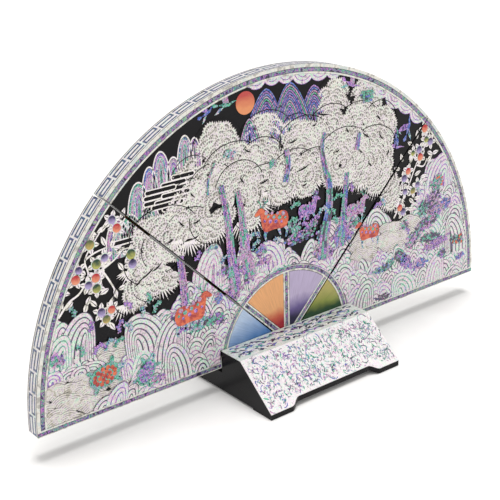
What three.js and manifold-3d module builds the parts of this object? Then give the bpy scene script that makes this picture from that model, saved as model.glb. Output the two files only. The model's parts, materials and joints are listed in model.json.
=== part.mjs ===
// Three-leaf folding display fan in black lacquer and shell inlay, on a low lacquered stand.
// Millimetres. X to the viewer's right, Y to the back, Z up, origin on the ground under the middle.
import * as THREE from 'three';
import { mergeVertices } from 'three/addons/utils/BufferGeometryUtils.js';
import Module from 'manifold-3d';

const wasm = await Module();
wasm.setup();

// ---- driving dimensions --------------------------------------------------------------------
const FAN_RADIUS = 150;          // outer arc of the picture, measured from the hub centre
const FAN_FRONT_Y = -4.6;        // face of the shell inlay
const FAN_BACK_Y = 4.6;          // lacquered back
const HUB_HEIGHT = 13.2;         // hub centre above the ground
const SEAM_ANGLE = 45;           // each wing spans this many degrees
const SEAM_HALF_GAP = 0.4;       // the two leaves of a seam each stand back this much
const WING_BOTTOM_TRIM = 0.25;   // keeps the folded wings from touching each other
const INLAY = 0.3;               // thickness of every shell piece
const PANEL = 0.3;               // thickness of the picture ground
const RIM_BAND = 0.6;            // shell band round the outer edge
const BORDER_WIDTH = 4.8;        // white, coloured and white stripes on the face
const BOTTOM_BORDER_WIDTH = 3.5;

const HUB_PANEL_RADIUS = 41.2;
const HUB_ARC_RADIUS = 44.8;
const HUB_LINE = 0.25;           // dark line between a hub panel and its border
const SIDE_DIVIDER_WIDTH = 3.3;
const MIDDLE_DIVIDER_WIDTH = 3.8;
const MIDDLE_DIVIDER_FLOOR = 7;  // it ends above the wedges' common tip
const DIVIDER_TRIM = 1.2;        // the side dividers stop this far from the middle
const SUN_CENTRE = [-24.2, 136];
const SUN_RADIUS = 5.7;

const TIP_TRIM_ANGLE = 58;       // direction square to the cut on a wing's hidden tip
const TIP_TRIM_DISTANCE = 13.8;
const TONGUE_HALF_WIDTH = 9.5;
const TONGUE_BOTTOM = 4.5;       // above the ground
const TONGUE_CLEARANCE = 0.3;

const STAND_HALF_WIDTH = 44.6;
const STAND_HALF_DEPTH = 44.6;
const STAND_EDGE_HEIGHT = 3.25;  // upright edge at the front and back of the base
const LIP_HEIGHT = 23.5;
const LIP_FRONT_Y = -20.7;
const LIP_BACK_Y = -5.0;
const LEDGE_HEIGHT = 11.0;       // low rear half, so the wings can swing over it
const LEDGE_BACK_Y = 35.45;
const ARCH_HALF_WIDTH = 30.8;
const ARCH_CURVE = 6.5;          // length of the curve at each end of an arch
const ARCH_STEPS = 8;            // facets in that curve
const ARCH_HEIGHT = 2.4;
const ARCH_SETBACK = 2.8;        // how far the upright edge steps back in the arch
const ARCH_INNER_Y = 24;
const BELLY_HEIGHT = 0.8;        // the block between the arches clears the ground
const CUT_REACH = 60;            // a cutting solid runs well past what it cuts
const CUT_BELOW = 3;

const HINGE_RADII = [57, 119];   // middle of each hinge, along its seam
const HINGE_LENGTH = 16.5;
const HINGE_AXIS_Y = 5.5;
const PLATE_REACH = 9.5;         // from the seam line to the plate's far edge
const PLATE_THICKNESS = 1.0;
const PLATE_INNER = 1.9;         // plate edge beside the other leaf's knuckle
const KNUCKLE_RADIUS = 1.4;
const KNUCKLE_GAP = 0.3;
const KNUCKLE_WEB = 0.75;        // where the strap that joins plate and knuckle starts
const BORE_RADIUS = 0.75;
const PIN_RADIUS = 0.70;
const SCREW_RADIUS = 1.3;
const SCREW_HEAD = 0.4;

const ARC_STEPS = 30;            // facets in each 45 degrees of arc

// ---- flat outlines: lists of [x, z] round the hub centre --------------------------------------
const rad = (degrees) => degrees * Math.PI / 180;

function sector(inner, outer, from, to) {
  const steps = Math.round(ARC_STEPS * (to - from) / 45);
  const points = [];
  for (let i = 0; i <= steps; i++) {
    const a = rad(from + (to - from) * i / steps);
    points.push([outer * Math.cos(a), outer * Math.sin(a)]);
  }
  if (inner <= 0) return [...points, [0, 0]];
  for (let i = steps; i >= 0; i--) {
    const a = rad(from + (to - from) * i / steps);
    points.push([inner * Math.cos(a), inner * Math.sin(a)]);
  }
  return points;
}

// Keeps the side of an outline where nx*x + nz*z is at least c.
function keep(points, nx, nz, c) {
  const side = (p) => nx * p[0] + nz * p[1] - c;
  const kept = [];
  points.forEach((p, i) => {
    const q = points[(i + 1) % points.length];
    const a = side(p);
    const b = side(q);
    if (a >= 0) kept.push(p);
    if ((a > 0 && b < 0) || (a < 0 && b > 0)) {
      const t = a / (a - b);
      kept.push([p[0] + (q[0] - p[0]) * t, p[1] + (q[1] - p[1]) * t]);
    }
  });
  return kept;
}

const SIN = Math.sin(rad(SEAM_ANGLE));
const COS = Math.cos(rad(SEAM_ANGLE));

function wingOutline(points, seamInset = SEAM_HALF_GAP) {
  const beside = keep(points, SIN, -COS, seamInset);
  const above = keep(beside, 0, 1, WING_BOTTOM_TRIM);
  return keep(above, Math.cos(rad(TIP_TRIM_ANGLE)), Math.sin(rad(TIP_TRIM_ANGLE)), TIP_TRIM_DISTANCE);
}

function centreOutline(points, seamInset = SEAM_HALF_GAP, floor = 6) {
  const right = keep(points, -SIN, COS, seamInset);
  const left = keep(right, SIN, COS, seamInset);
  return keep(left, 0, 1, floor);
}

const mirrored = (points) => points.map(([x, z]) => [-x, z]).reverse();

// ---- solids -----------------------------------------------------------------------------------
// An upright slab: the outline in X and Z about the hub centre, between two depths.
function slab(points, frontY, backY, height = HUB_HEIGHT) {
  const shape = new THREE.Shape(points.map(([x, z]) => new THREE.Vector2(x, z)));
  const solid = new THREE.ExtrudeGeometry(shape, { depth: backY - frontY, bevelEnabled: false });
  return solid.rotateX(Math.PI / 2).translate(0, backY, height);
}

function mirrorX(geometry) {
  const copy = geometry.index ? geometry.toNonIndexed() : geometry.clone();
  const p = copy.attributes.position;
  for (let i = 0; i < p.count; i += 3) {
    const b = [p.getX(i + 1), p.getY(i + 1), p.getZ(i + 1)];
    p.setXYZ(i, -p.getX(i), p.getY(i), p.getZ(i));
    p.setXYZ(i + 1, -p.getX(i + 2), p.getY(i + 2), p.getZ(i + 2));
    p.setXYZ(i + 2, -b[0], b[1], b[2]);
  }
  return plain(copy);
}

function plain(geometry) {
  const bare = new THREE.BufferGeometry();
  bare.setAttribute('position', geometry.attributes.position.clone());
  if (geometry.index) bare.setIndex(geometry.index.clone());
  return mergeVertices(bare, 1e-4);
}

function toSolid(geometry) {
  const bare = plain(geometry);
  return new wasm.Manifold(new wasm.Mesh({
    numProp: 3,
    vertProperties: new Float32Array(bare.attributes.position.array),
    triVerts: new Uint32Array(bare.index.array),
  }));
}

function toGeometry(solid) {
  const mesh = solid.getMesh();
  const geometry = new THREE.BufferGeometry();
  geometry.setAttribute('position', new THREE.BufferAttribute(new Float32Array(mesh.vertProperties), 3));
  geometry.setIndex(new THREE.BufferAttribute(new Uint32Array(mesh.triVerts), 1));
  return geometry;
}

const box = (x0, x1, y0, y1, z0, z1) => new THREE.BoxGeometry(x1 - x0, y1 - y0, z1 - z0)
  .translate((x0 + x1) / 2, (y0 + y1) / 2, (z0 + z1) / 2);

const subtract = (from, cutters) => toGeometry(
  cutters.reduce((solid, cutter) => solid.subtract(toSolid(cutter)), toSolid(from)));
const unite = (pieces) => toGeometry(
  pieces.slice(1).reduce((solid, piece) => solid.add(toSolid(piece)), toSolid(pieces[0])));

// ---- hinges on the right seam -----------------------------------------------------------------
// Built along local X, with the centre leaf on the +Z side and the wing on the -Z side.
const seamPlace = new THREE.Matrix4().makeBasis(
  new THREE.Vector3(COS, 0, SIN), new THREE.Vector3(0, 1, 0), new THREE.Vector3(-SIN, 0, COS));
const onSeam = (geometry) => geometry.applyMatrix4(seamPlace).translate(0, 0, HUB_HEIGHT);

function knuckleSpans(centre) {
  const start = centre - HINGE_LENGTH / 2;
  const pitch = (HINGE_LENGTH - 2 * KNUCKLE_GAP) / 3;
  return [0, 1, 2].map((i) => [start + i * (pitch + KNUCKLE_GAP), start + i * (pitch + KNUCKLE_GAP) + pitch]);
}

function rod(radius, x0, x1, sides = 24) {
  return new THREE.CylinderGeometry(radius, radius, x1 - x0, sides)
    .rotateZ(Math.PI / 2).translate((x0 + x1) / 2, HINGE_AXIS_Y, 0);
}

function hingePlate(centre, knuckles, side) {
  const low = centre - HINGE_LENGTH / 2;
  const high = centre + HINGE_LENGTH / 2;
  const across = (x0, x1, s0, s1) => (side > 0
    ? box(x0, x1, FAN_BACK_Y - PLATE_THICKNESS, FAN_BACK_Y, s0, s1)
    : box(x0, x1, FAN_BACK_Y - PLATE_THICKNESS, FAN_BACK_Y, -s1, -s0));
  const spans = knuckleSpans(centre).filter((_, i) => knuckles.includes(i));
  const pieces = [across(low, high, PLATE_INNER, PLATE_REACH)];
  spans.forEach(([x0, x1]) => {
    pieces.push(across(x0, x1, KNUCKLE_WEB, PLATE_INNER + 0.1), rod(KNUCKLE_RADIUS, x0, x1));
  });
  return onSeam(subtract(unite(pieces), spans.map(([x0, x1]) => rod(BORE_RADIUS, x0 - 1, x1 + 1))));
}

function hingeScrew(centre, side, end) {
  const z = side * (PLATE_INNER + PLATE_REACH) / 2;
  return onSeam(new THREE.CylinderGeometry(SCREW_RADIUS * 0.8, SCREW_RADIUS, SCREW_HEAD, 16)
    .translate(centre + end * HINGE_LENGTH * 0.3, FAN_BACK_Y + SCREW_HEAD / 2, z));
}

const hingePin = (centre) => onSeam(
  rod(PIN_RADIUS, centre - HINGE_LENGTH / 2 - 0.4, centre + HINGE_LENGTH / 2 + 0.4));

const hingePocket = (centre, side) => onSeam(box(
  centre - HINGE_LENGTH / 2, centre + HINGE_LENGTH / 2, FAN_BACK_Y - PLATE_THICKNESS, FAN_BACK_Y + 1,
  side > 0 ? 0 : -PLATE_REACH, side > 0 ? PLATE_REACH : 0));

// ---- leaves -----------------------------------------------------------------------------------
const panelFront = FAN_FRONT_Y + INLAY;
const coreFront = panelFront + PANEL;
const coreRadius = FAN_RADIUS - RIM_BAND;

function centreCore() {
  const arc = sector(0, coreRadius, 45, 135);
  const upper = centreOutline(arc, SEAM_HALF_GAP, 0).filter(([, z]) => z > TONGUE_HALF_WIDTH + 1);
  const shoulder = TONGUE_HALF_WIDTH + SEAM_HALF_GAP / COS;
  const foot = TONGUE_BOTTOM - HUB_HEIGHT;
  const outline = [
    [-TONGUE_HALF_WIDTH, shoulder], [-TONGUE_HALF_WIDTH, foot],
    [TONGUE_HALF_WIDTH, foot], [TONGUE_HALF_WIDTH, shoulder], ...upper];
  const pockets = HINGE_RADII.flatMap((r) => [hingePocket(r, 1), mirrorX(hingePocket(r, 1))]);
  return subtract(slab(outline, coreFront, FAN_BACK_Y), pockets);
}

function wingCore() {
  const body = slab(wingOutline(sector(0, coreRadius, 0, 45)), coreFront, FAN_BACK_Y);
  return subtract(body, HINGE_RADII.map((r) => hingePocket(r, -1)));
}

const inlay = (outline) => slab(outline, FAN_FRONT_Y, panelFront);

const centreDividerInner = SEAM_HALF_GAP + SIDE_DIVIDER_WIDTH;
const halfMiddle = MIDDLE_DIVIDER_WIDTH / 2;
const dividerTop = HUB_PANEL_RADIUS - HUB_LINE;

function centreHubPanel() {
  const wedge = centreOutline(sector(0, dividerTop, 45, 90), centreDividerInner + HUB_LINE);
  return keep(wedge, 1, 0, halfMiddle + HUB_LINE);
}

function sideDivider() {
  const strip = centreOutline(sector(0, HUB_PANEL_RADIUS, 45, 90));
  const inner = keep(strip, SIN, -COS, -centreDividerInner);
  return keep(inner, 1, 0, DIVIDER_TRIM);
}

function middleDivider() {
  const strip = centreOutline(sector(0, HUB_PANEL_RADIUS, 45, 135), centreDividerInner + HUB_LINE, MIDDLE_DIVIDER_FLOOR);
  return keep(keep(strip, 1, 0, -halfMiddle), -1, 0, -halfMiddle);
}

function disc(centre, radius, steps) {
  return Array.from({ length: steps }, (_, i) => {
    const a = 2 * Math.PI * i / steps;
    return [centre[0] + radius * Math.cos(a), centre[1] + radius * Math.sin(a)];
  });
}

// ---- stand ------------------------------------------------------------------------------------
// A solid along X from outlines in Y and Z, so every station has the same number of points.
function loft(outlines) {
  const flat = outlines[0].points.map(([y, z]) => new THREE.Vector2(y, z));
  const turned = THREE.ShapeUtils.isClockWise(flat);
  const stations = outlines.map(({ x, points }) => ({ x, points: turned ? [...points].reverse() : points }));
  const n = flat.length;
  const positions = stations.flatMap(({ x, points }) => points.flatMap(([y, z]) => [x, y, z]));
  const faces = [];
  for (let s = 0; s + 1 < stations.length; s++) {
    for (let i = 0; i < n; i++) {
      const a = s * n + i;
      const b = s * n + (i + 1) % n;
      faces.push(a, b, a + n, b, b + n, a + n);
    }
  }
  const cap = THREE.ShapeUtils.triangulateShape(stations[0].points.map(([y, z]) => new THREE.Vector2(y, z)), []);
  const last = (stations.length - 1) * n;
  cap.forEach(([a, b, c]) => faces.push(a, c, b, last + a, last + b, last + c));
  const geometry = new THREE.BufferGeometry();
  geometry.setAttribute('position', new THREE.Float32BufferAttribute(positions, 3));
  geometry.setIndex(faces);
  return geometry;
}

const along = (points) => loft([
  { x: -STAND_HALF_WIDTH, points }, { x: STAND_HALF_WIDTH, points }]);

// The arch under the front or the back: a smooth rise at each end, then level.
function archCutter(side) {
  const stations = [];
  const place = (x, rise) => {
    const eased = rise * rise * (3 - 2 * rise);
    const edge = STAND_HALF_DEPTH - ARCH_SETBACK * eased + (rise === 0 ? 0.01 : 0);
    const top = Math.max(ARCH_HEIGHT * eased, 0.001);
    const points = [[-CUT_REACH, -CUT_BELOW], [-CUT_REACH, LIP_HEIGHT], [-edge, LIP_HEIGHT], [-edge, top],
      [-ARCH_INNER_Y, top], [-ARCH_INNER_Y, -CUT_BELOW]];
    stations.push({ x, points: points.map(([y, z]) => [side * y, z]) });
  };
  for (let i = 0; i <= ARCH_STEPS; i++) place(-ARCH_HALF_WIDTH + ARCH_CURVE * i / ARCH_STEPS, i / ARCH_STEPS);
  for (let i = ARCH_STEPS; i >= 0; i--) place(ARCH_HALF_WIDTH - ARCH_CURVE * i / ARCH_STEPS, i / ARCH_STEPS);
  return loft(stations);
}

function standSolids() {
  const slope = Math.atan2(LIP_HEIGHT - STAND_EDGE_HEIGHT, LIP_FRONT_Y + STAND_HALF_DEPTH);
  const whole = along([
    [-STAND_HALF_DEPTH, 0], [-STAND_HALF_DEPTH, STAND_EDGE_HEIGHT], [LIP_FRONT_Y, LIP_HEIGHT],
    [LIP_BACK_Y, LIP_HEIGHT], [LIP_BACK_Y, LEDGE_HEIGHT], [LEDGE_BACK_Y, LEDGE_HEIGHT],
    [STAND_HALF_DEPTH, STAND_EDGE_HEIGHT], [STAND_HALF_DEPTH, 0]]);
  const reach = TONGUE_CLEARANCE;
  const mortise = box(-TONGUE_HALF_WIDTH - reach, TONGUE_HALF_WIDTH + reach,
    coreFront - reach, FAN_BACK_Y + reach, TONGUE_BOTTOM, LEDGE_HEIGHT + 1);
  const belly = box(-STAND_HALF_WIDTH - 1, STAND_HALF_WIDTH + 1, -ARCH_INNER_Y - 6, ARCH_INNER_Y + 6,
    -1, BELLY_HEIGHT);
  const block = toSolid(whole).subtract(toSolid(mortise)).subtract(toSolid(belly))
    .subtract(toSolid(archCutter(1))).subtract(toSolid(archCutter(-1)));

  const along45 = [Math.cos(slope), Math.sin(slope)];
  const inward = [Math.sin(slope), -Math.cos(slope)];
  const bend = [LIP_FRONT_Y, LIP_HEIGHT];
  const t = (-INLAY - INLAY * inward[1]) / along45[1];
  const innerBend = [bend[0] + INLAY * inward[0] + t * along45[0], LIP_HEIGHT - INLAY];
  const below = [bend[0] - CUT_REACH * along45[0], bend[1] - CUT_REACH * along45[1]];
  const front = toSolid(along([bend, innerBend,
    [below[0] + INLAY * inward[0], below[1] + INLAY * inward[1]], below]));
  const top = toSolid(along([bend, [LIP_BACK_Y, LIP_HEIGHT], [LIP_BACK_Y, LIP_HEIGHT - INLAY], innerBend]));
  return {
    block: toGeometry(block.subtract(front).subtract(top)),
    front: toGeometry(block.intersect(front)),
    top: toGeometry(block.intersect(top)),
  };
}

// ---- assembly ---------------------------------------------------------------------------------
const LACQUER = { color: 0x1c1b1d, roughness: 0.3 };
const SHELL = { color: 0xe4e0d8, roughness: 0.35 };
const STRIPE = { color: 0x8f93b4, roughness: 0.3 };
const BRASS = { color: 0xb08d4a, roughness: 0.35, metalness: 1 };

const group = new THREE.Group();
group.name = 'inlaid_folding_fan';

function add(name, geometry, finish) {
  const mesh = new THREE.Mesh(plain(geometry), new THREE.MeshStandardMaterial(finish));
  mesh.geometry.computeVertexNormals();
  mesh.name = name;
  group.add(mesh);
}

function addPair(suffix, geometry, finish) {
  add(`right_${suffix}`, geometry, finish);
  add(`left_${suffix}`, mirrorX(geometry), finish);
}

add('centre_leaf_core', centreCore(), LACQUER);
addPair('leaf_core', wingCore(), LACQUER);
add('centre_picture_panel',
  slab(centreOutline(sector(0, coreRadius, 45, 135)), panelFront, coreFront), LACQUER);
addPair('picture_panel', slab(wingOutline(sector(0, coreRadius, 0, 45)), panelFront, coreFront), LACQUER);
add('centre_rim_band',
  slab(centreOutline(sector(coreRadius, FAN_RADIUS, 45, 135)), panelFront, FAN_BACK_Y), SHELL);
addPair('rim_band', slab(wingOutline(sector(coreRadius, FAN_RADIUS, 0, 45)), panelFront, FAN_BACK_Y), SHELL);

const borderRing = (from, to) => sector(FAN_RADIUS - BORDER_WIDTH, FAN_RADIUS, from, to);
add('centre_arc_border', inlay(centreOutline(borderRing(45, 135))), STRIPE);
addPair('arc_border', inlay(keep(wingOutline(borderRing(0, 45)), 0, 1, BOTTOM_BORDER_WIDTH)), STRIPE);
addPair('bottom_border',
  inlay(keep(wingOutline(sector(HUB_ARC_RADIUS, FAN_RADIUS, 0, 45)), 0, -1, -BOTTOM_BORDER_WIDTH)), STRIPE);

const hubRing = (from, to) => sector(HUB_PANEL_RADIUS, HUB_ARC_RADIUS, from, to);
add('centre_hub_arc', inlay(centreOutline(hubRing(45, 135))), STRIPE);
addPair('hub_arc', inlay(wingOutline(hubRing(0, 45))), STRIPE);
addPair('hub_divider', inlay(sideDivider()), STRIPE);
add('middle_hub_divider', inlay(middleDivider()), STRIPE);
add('purple_hub_panel', inlay(centreHubPanel()), { color: 0x9a8ab0, roughness: 0.45 });
add('orange_hub_panel', inlay(mirrored(centreHubPanel())), { color: 0xd8945e, roughness: 0.45 });
add('green_hub_panel', inlay(wingOutline(sector(0, dividerTop, 0, 45))), { color: 0x98a04a, roughness: 0.45 });
add('blue_hub_panel', inlay(mirrored(wingOutline(sector(0, dividerTop, 0, 45)))),
  { color: 0x7f9cc0, roughness: 0.45 });
add('sun_disc', inlay(disc(SUN_CENTRE, SUN_RADIUS, 48)), { color: 0xd2604a, roughness: 0.35 });

HINGE_RADII.forEach((radius, i) => {
  const place = ['inner', 'outer'][i];
  addPair(`${place}_centre_plate`, hingePlate(radius, [0, 2], 1), BRASS);
  addPair(`${place}_wing_plate`, hingePlate(radius, [1], -1), BRASS);
  addPair(`${place}_hinge_pin`, hingePin(radius), BRASS);
  [-1, 1].forEach((end) => {
    const row = end < 0 ? 'lower' : 'upper';
    addPair(`${place}_centre_screw_${row}`, hingeScrew(radius, 1, end), BRASS);
    addPair(`${place}_wing_screw_${row}`, hingeScrew(radius, -1, end), BRASS);
  });
});

const stand = standSolids();
add('stand_block', stand.block, LACQUER);
add('stand_front_shell', stand.front, SHELL);
add('stand_top_shell', stand.top, SHELL);

export default group;
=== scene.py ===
"""Looks of a three-leaf folding display fan: black lacquered board inlaid with shell, on a lacquered stand.

Objects are in metres in the frame of the part. The picture is drawn in millimetres on each leaf's face,
x to the right and z up from the hub centre, and every shell piece is sawn flat and then given its thickness.
"""
import json
import logging
import math
import random
from dataclasses import dataclass, field
from enum import Enum
from typing import Iterable, Sequence

import bpy
from bpy.types import Material, Node, NodeSocket, NodeTree, Object
from mathutils import Matrix, Vector

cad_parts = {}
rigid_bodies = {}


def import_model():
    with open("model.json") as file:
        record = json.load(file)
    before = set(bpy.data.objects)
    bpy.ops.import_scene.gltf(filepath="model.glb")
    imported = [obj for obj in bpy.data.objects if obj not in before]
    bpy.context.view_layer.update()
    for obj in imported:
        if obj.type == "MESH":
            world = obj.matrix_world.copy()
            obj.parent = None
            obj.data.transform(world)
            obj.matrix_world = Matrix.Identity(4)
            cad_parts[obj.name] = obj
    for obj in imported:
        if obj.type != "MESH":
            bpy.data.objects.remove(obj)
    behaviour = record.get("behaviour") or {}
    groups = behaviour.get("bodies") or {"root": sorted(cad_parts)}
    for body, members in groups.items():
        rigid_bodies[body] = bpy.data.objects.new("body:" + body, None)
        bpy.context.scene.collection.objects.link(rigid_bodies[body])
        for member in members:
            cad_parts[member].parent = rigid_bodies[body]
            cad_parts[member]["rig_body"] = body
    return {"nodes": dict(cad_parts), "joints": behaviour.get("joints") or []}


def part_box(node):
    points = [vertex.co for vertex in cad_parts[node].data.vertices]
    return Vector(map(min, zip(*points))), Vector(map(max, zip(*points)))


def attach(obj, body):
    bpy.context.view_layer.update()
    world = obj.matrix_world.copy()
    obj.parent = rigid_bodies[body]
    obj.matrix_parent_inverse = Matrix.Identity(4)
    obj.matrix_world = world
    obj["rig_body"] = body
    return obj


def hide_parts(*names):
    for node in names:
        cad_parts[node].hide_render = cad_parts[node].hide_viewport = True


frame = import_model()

LOG = logging.getLogger("display_fan")
MM = 0.001
Point = tuple[float, float]
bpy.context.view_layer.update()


# ---- sizes read from the part ------------------------------------------------------------------
HUB_HEIGHT = next(j["pos_m"][2] for j in frame["joints"] if j["name"] == "right_leaf_fold") / MM
FAN_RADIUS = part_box("right_rim_band")[1].x / MM
GROUND_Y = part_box("centre_picture_panel")[0].y
RIM_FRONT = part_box("centre_arc_border")[0].y / MM
RIM_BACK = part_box("centre_rim_band")[1].y / MM
HUB_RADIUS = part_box("centre_hub_arc")[1].z / MM - HUB_HEIGHT
PICTURE_RADIUS = FAN_RADIUS - 4.9
PICTURE_FLOOR = 3.7
SEAM_MARGIN = 0.7
LIP_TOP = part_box("stand_top_shell")[1].z / MM - HUB_HEIGHT + 0.3
LIP_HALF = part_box("stand_top_shell")[1].x / MM + 0.6
DIAGONAL = math.sqrt(0.5)


def linear(hex_colour: str) -> tuple[float, float, float, float]:
    """Turns an sRGB hex colour to linear values.

    Args:
        hex_colour: Six hex digits after a hash.

    Returns:
        Red, green, blue and alpha.
    """
    parts = [int(hex_colour[i:i + 2], 16) / 255 for i in (1, 3, 5)]
    values = [c / 12.92 if c <= 0.04045 else ((c + 0.055) / 1.055) ** 2.4 for c in parts]
    return (values[0], values[1], values[2], 1.0)


def feed(tree: NodeTree, node: Node, inputs: dict) -> None:
    """Links or sets a node's inputs.

    Args:
        tree: The node tree it stands in.
        node: The node.
        inputs: Input name or number to a value, or to the socket that feeds it.
    """
    for key, value in inputs.items():
        if isinstance(value, NodeSocket):
            tree.links.new(value, node.inputs[key])
        else:
            node.inputs[key].default_value = value


def add_node(tree: NodeTree, kind: str, inputs: dict | None = None,
             stops: Sequence[tuple[float, str]] = (), **settings: object) -> Node:
    """Adds a node, gives it its settings, and fills or links its inputs.

    Args:
        tree: The node tree of a material or world.
        kind: Blender's name for the node type.
        inputs: Input name or number to a value, or to the socket that feeds it.
        stops: Place and hex colour of each stop, on a colour ramp.
        settings: The node's own properties.

    Returns:
        The new node.
    """
    made = tree.nodes.new(kind)
    for key, value in settings.items():
        setattr(made, key, value)
    if stops:
        elements = made.color_ramp.elements
        while len(elements) < len(stops):
            elements.new(1.0)
        for element, (place, colour) in zip(elements, stops):
            element.position = place
            element.color = linear(colour)
    feed(tree, made, inputs or {})
    return made


# ---- finishes ----------------------------------------------------------------------------------
LACQUER_IOR = 1.54
DYED_IOR = 1.54
SHELL_IOR = 1.56
ABALONE_IOR = 1.58


@dataclass(frozen=True)
class Nodes:
    """A material's node tree, its shader, and the coordinates that its patterns are measured in."""

    tree: NodeTree
    shader: Node
    place: NodeSocket

    def noise(self, size_mm: float, detail: float = 2.0, twist: float = 0.0) -> NodeSocket:
        """Adds soft random clouds of about the given size."""
        inputs = {"Vector": self.place, "Scale": 1 / (size_mm * MM), "Detail": detail, "Distortion": twist}
        return add_node(self.tree, "ShaderNodeTexNoise", inputs).outputs["Fac"]

    def ramp(self, value: NodeSocket, *stops: tuple[float, str]) -> NodeSocket:
        """Adds colours that follow a value."""
        return add_node(self.tree, "ShaderNodeValToRGB", {"Fac": value}, stops=list(stops)).outputs["Color"]

    def even_ramp(self, value: NodeSocket, tones: Sequence[str]) -> NodeSocket:
        """Adds colours at even steps over the middle of a value's range."""
        step = 0.3 / (len(tones) - 1)
        return self.ramp(value, *((0.35 + i * step, tone) for i, tone in enumerate(tones)))

    def fitted(self, value: NodeSocket, low: float = 0.0, high: float = 1.0,
               start: float = 0.0, end: float = 1.0) -> NodeSocket:
        """Maps a value's range, start to end, onto low to high."""
        inputs = {"Value": value, "From Min": start, "From Max": end, "To Min": low, "To Max": high}
        return add_node(self.tree, "ShaderNodeMapRange", inputs).outputs["Result"]

    def sum(self, operation: str, *values: NodeSocket | float) -> NodeSocket:
        """Adds one sum of numbers."""
        return add_node(self.tree, "ShaderNodeMath", dict(enumerate(values)),
                        operation=operation).outputs[0]

    def vector(self, operation: str, *values: NodeSocket | tuple[float, float, float]) -> Node:
        """Adds one sum of vectors."""
        return add_node(self.tree, "ShaderNodeVectorMath", dict(enumerate(values)), operation=operation)

    def from_hub(self) -> NodeSocket:
        """Measures each place from the fan's hub."""
        return self.vector("SUBTRACT", self.place, (0.0, 0.0, HUB_HEIGHT * MM)).outputs[0]

    def reach(self, offset: NodeSocket) -> NodeSocket:
        """Measures how far an offset from the hub goes, in the plane of the fan's face."""
        flat = self.vector("MULTIPLY", offset, (1.0, 0.0, 1.0)).outputs[0]
        return self.vector("LENGTH", flat).outputs["Value"]

    def shaded(self, colour: NodeSocket, shade: NodeSocket) -> NodeSocket:
        """Darkens a colour by a grey value."""
        return add_node(self.tree, "ShaderNodeMix", {0: 1.0, 6: colour, 7: shade}, data_type="RGBA",
                        blend_type="MULTIPLY").outputs[2]

    def chosen(self, mask: NodeSocket, outside: NodeSocket, inside: NodeSocket | tuple) -> NodeSocket:
        """Takes one colour inside a mask and another outside it."""
        return add_node(self.tree, "ShaderNodeMix", {0: mask, 6: outside, 7: inside},
                        data_type="RGBA").outputs[2]

    def bumps(self, height: NodeSocket, strength: float, depth_mm: float) -> NodeSocket:
        """Raises the surface by a grey value."""
        inputs = {"Height": height, "Strength": strength, "Distance": depth_mm * MM}
        return add_node(self.tree, "ShaderNodeBump", inputs).outputs["Normal"]

    def fill(self, **inputs: NodeSocket | float) -> None:
        """Fills the shader's inputs, named as Blender names them but with _ for each space."""
        feed(self.tree, self.shader, {key.replace("_", " "): value for key, value in inputs.items()})


@dataclass(frozen=True)
class Finish:
    """What every finish shares: its name, and how its material is made."""

    name: str

    def make(self) -> Material:
        """Makes the material.

        Returns:
            The finished material.
        """
        material = bpy.data.materials.new(self.name)
        material.use_nodes = True
        tree = material.node_tree
        place = add_node(tree, "ShaderNodeTexCoord").outputs["Object"]
        self.dress(Nodes(tree, tree.nodes["Principled BSDF"], place))
        return material

    def dress(self, nodes: Nodes) -> None:
        """Fills the shader. Each finish has its own."""
        raise NotImplementedError


@dataclass(frozen=True)
class RubbedLacquer(Finish):
    """Black lacquer, many thin coats rubbed down and polished: deep, a little brown, a soft ripple in it."""

    dark: str = "#0b0a0c"
    light: str = "#151417"
    roughness: float = 0.2
    shine: float = 0.13
    ripple_mm: float = 6.0

    def dress(self, nodes: Nodes) -> None:
        """Near-black with cloudy variation, faint rubbing marks in its gloss and a low ripple.

        Args:
            nodes: The material's nodes.
        """
        tone = nodes.ramp(nodes.noise(14, 4.0), (0.3, self.dark), (0.75, self.light))
        gloss = nodes.fitted(nodes.noise(0.7, 3.0), self.roughness - 0.05, self.roughness + 0.08)
        ripple = nodes.bumps(nodes.noise(self.ripple_mm), 0.12, 0.06)
        nodes.fill(Base_Color=tone, Roughness=gloss, Normal=ripple, IOR=LACQUER_IOR,
                   Specular_IOR_Level=self.shine)


@dataclass(frozen=True)
class PearlShell(Finish):
    """Polished mother-of-pearl: milky white, clouded pale pink, green and violet, with fine growth lines."""

    tones: tuple[str, ...] = ("#b5b1a8", "#ebe6da", "#e0cfe0", "#f2ede0", "#d0e2d2", "#eee6dc")
    cloud_mm: float = 3.0
    growth_mm: float = 0.9
    growth_depth: float = 0.3
    roughness: float = 0.3

    def dress(self, nodes: Nodes) -> None:
        """Cloudy pale tones, darker growth lines across them, and a low wavy surface.

        Args:
            nodes: The material's nodes.
        """
        tone = nodes.even_ramp(nodes.noise(self.cloud_mm, 4.0, 1.2), self.tones)
        growth = nodes.noise(self.growth_mm, 2.0, 2.5)
        line = nodes.fitted(growth, 1.0 - self.growth_depth, 1.0, 0.38, 0.56)
        nodes.fill(Base_Color=nodes.shaded(tone, line), Normal=nodes.bumps(growth, 0.3, 0.05),
                   Roughness=self.roughness, IOR=SHELL_IOR)


ABALONE_TONES = ("#2c3242", "#6a5aa6", "#5f8fd2", "#4fbfae", "#8fd7a8", "#e0a9cf", "#efe6ee", "#8d78c4")


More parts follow.
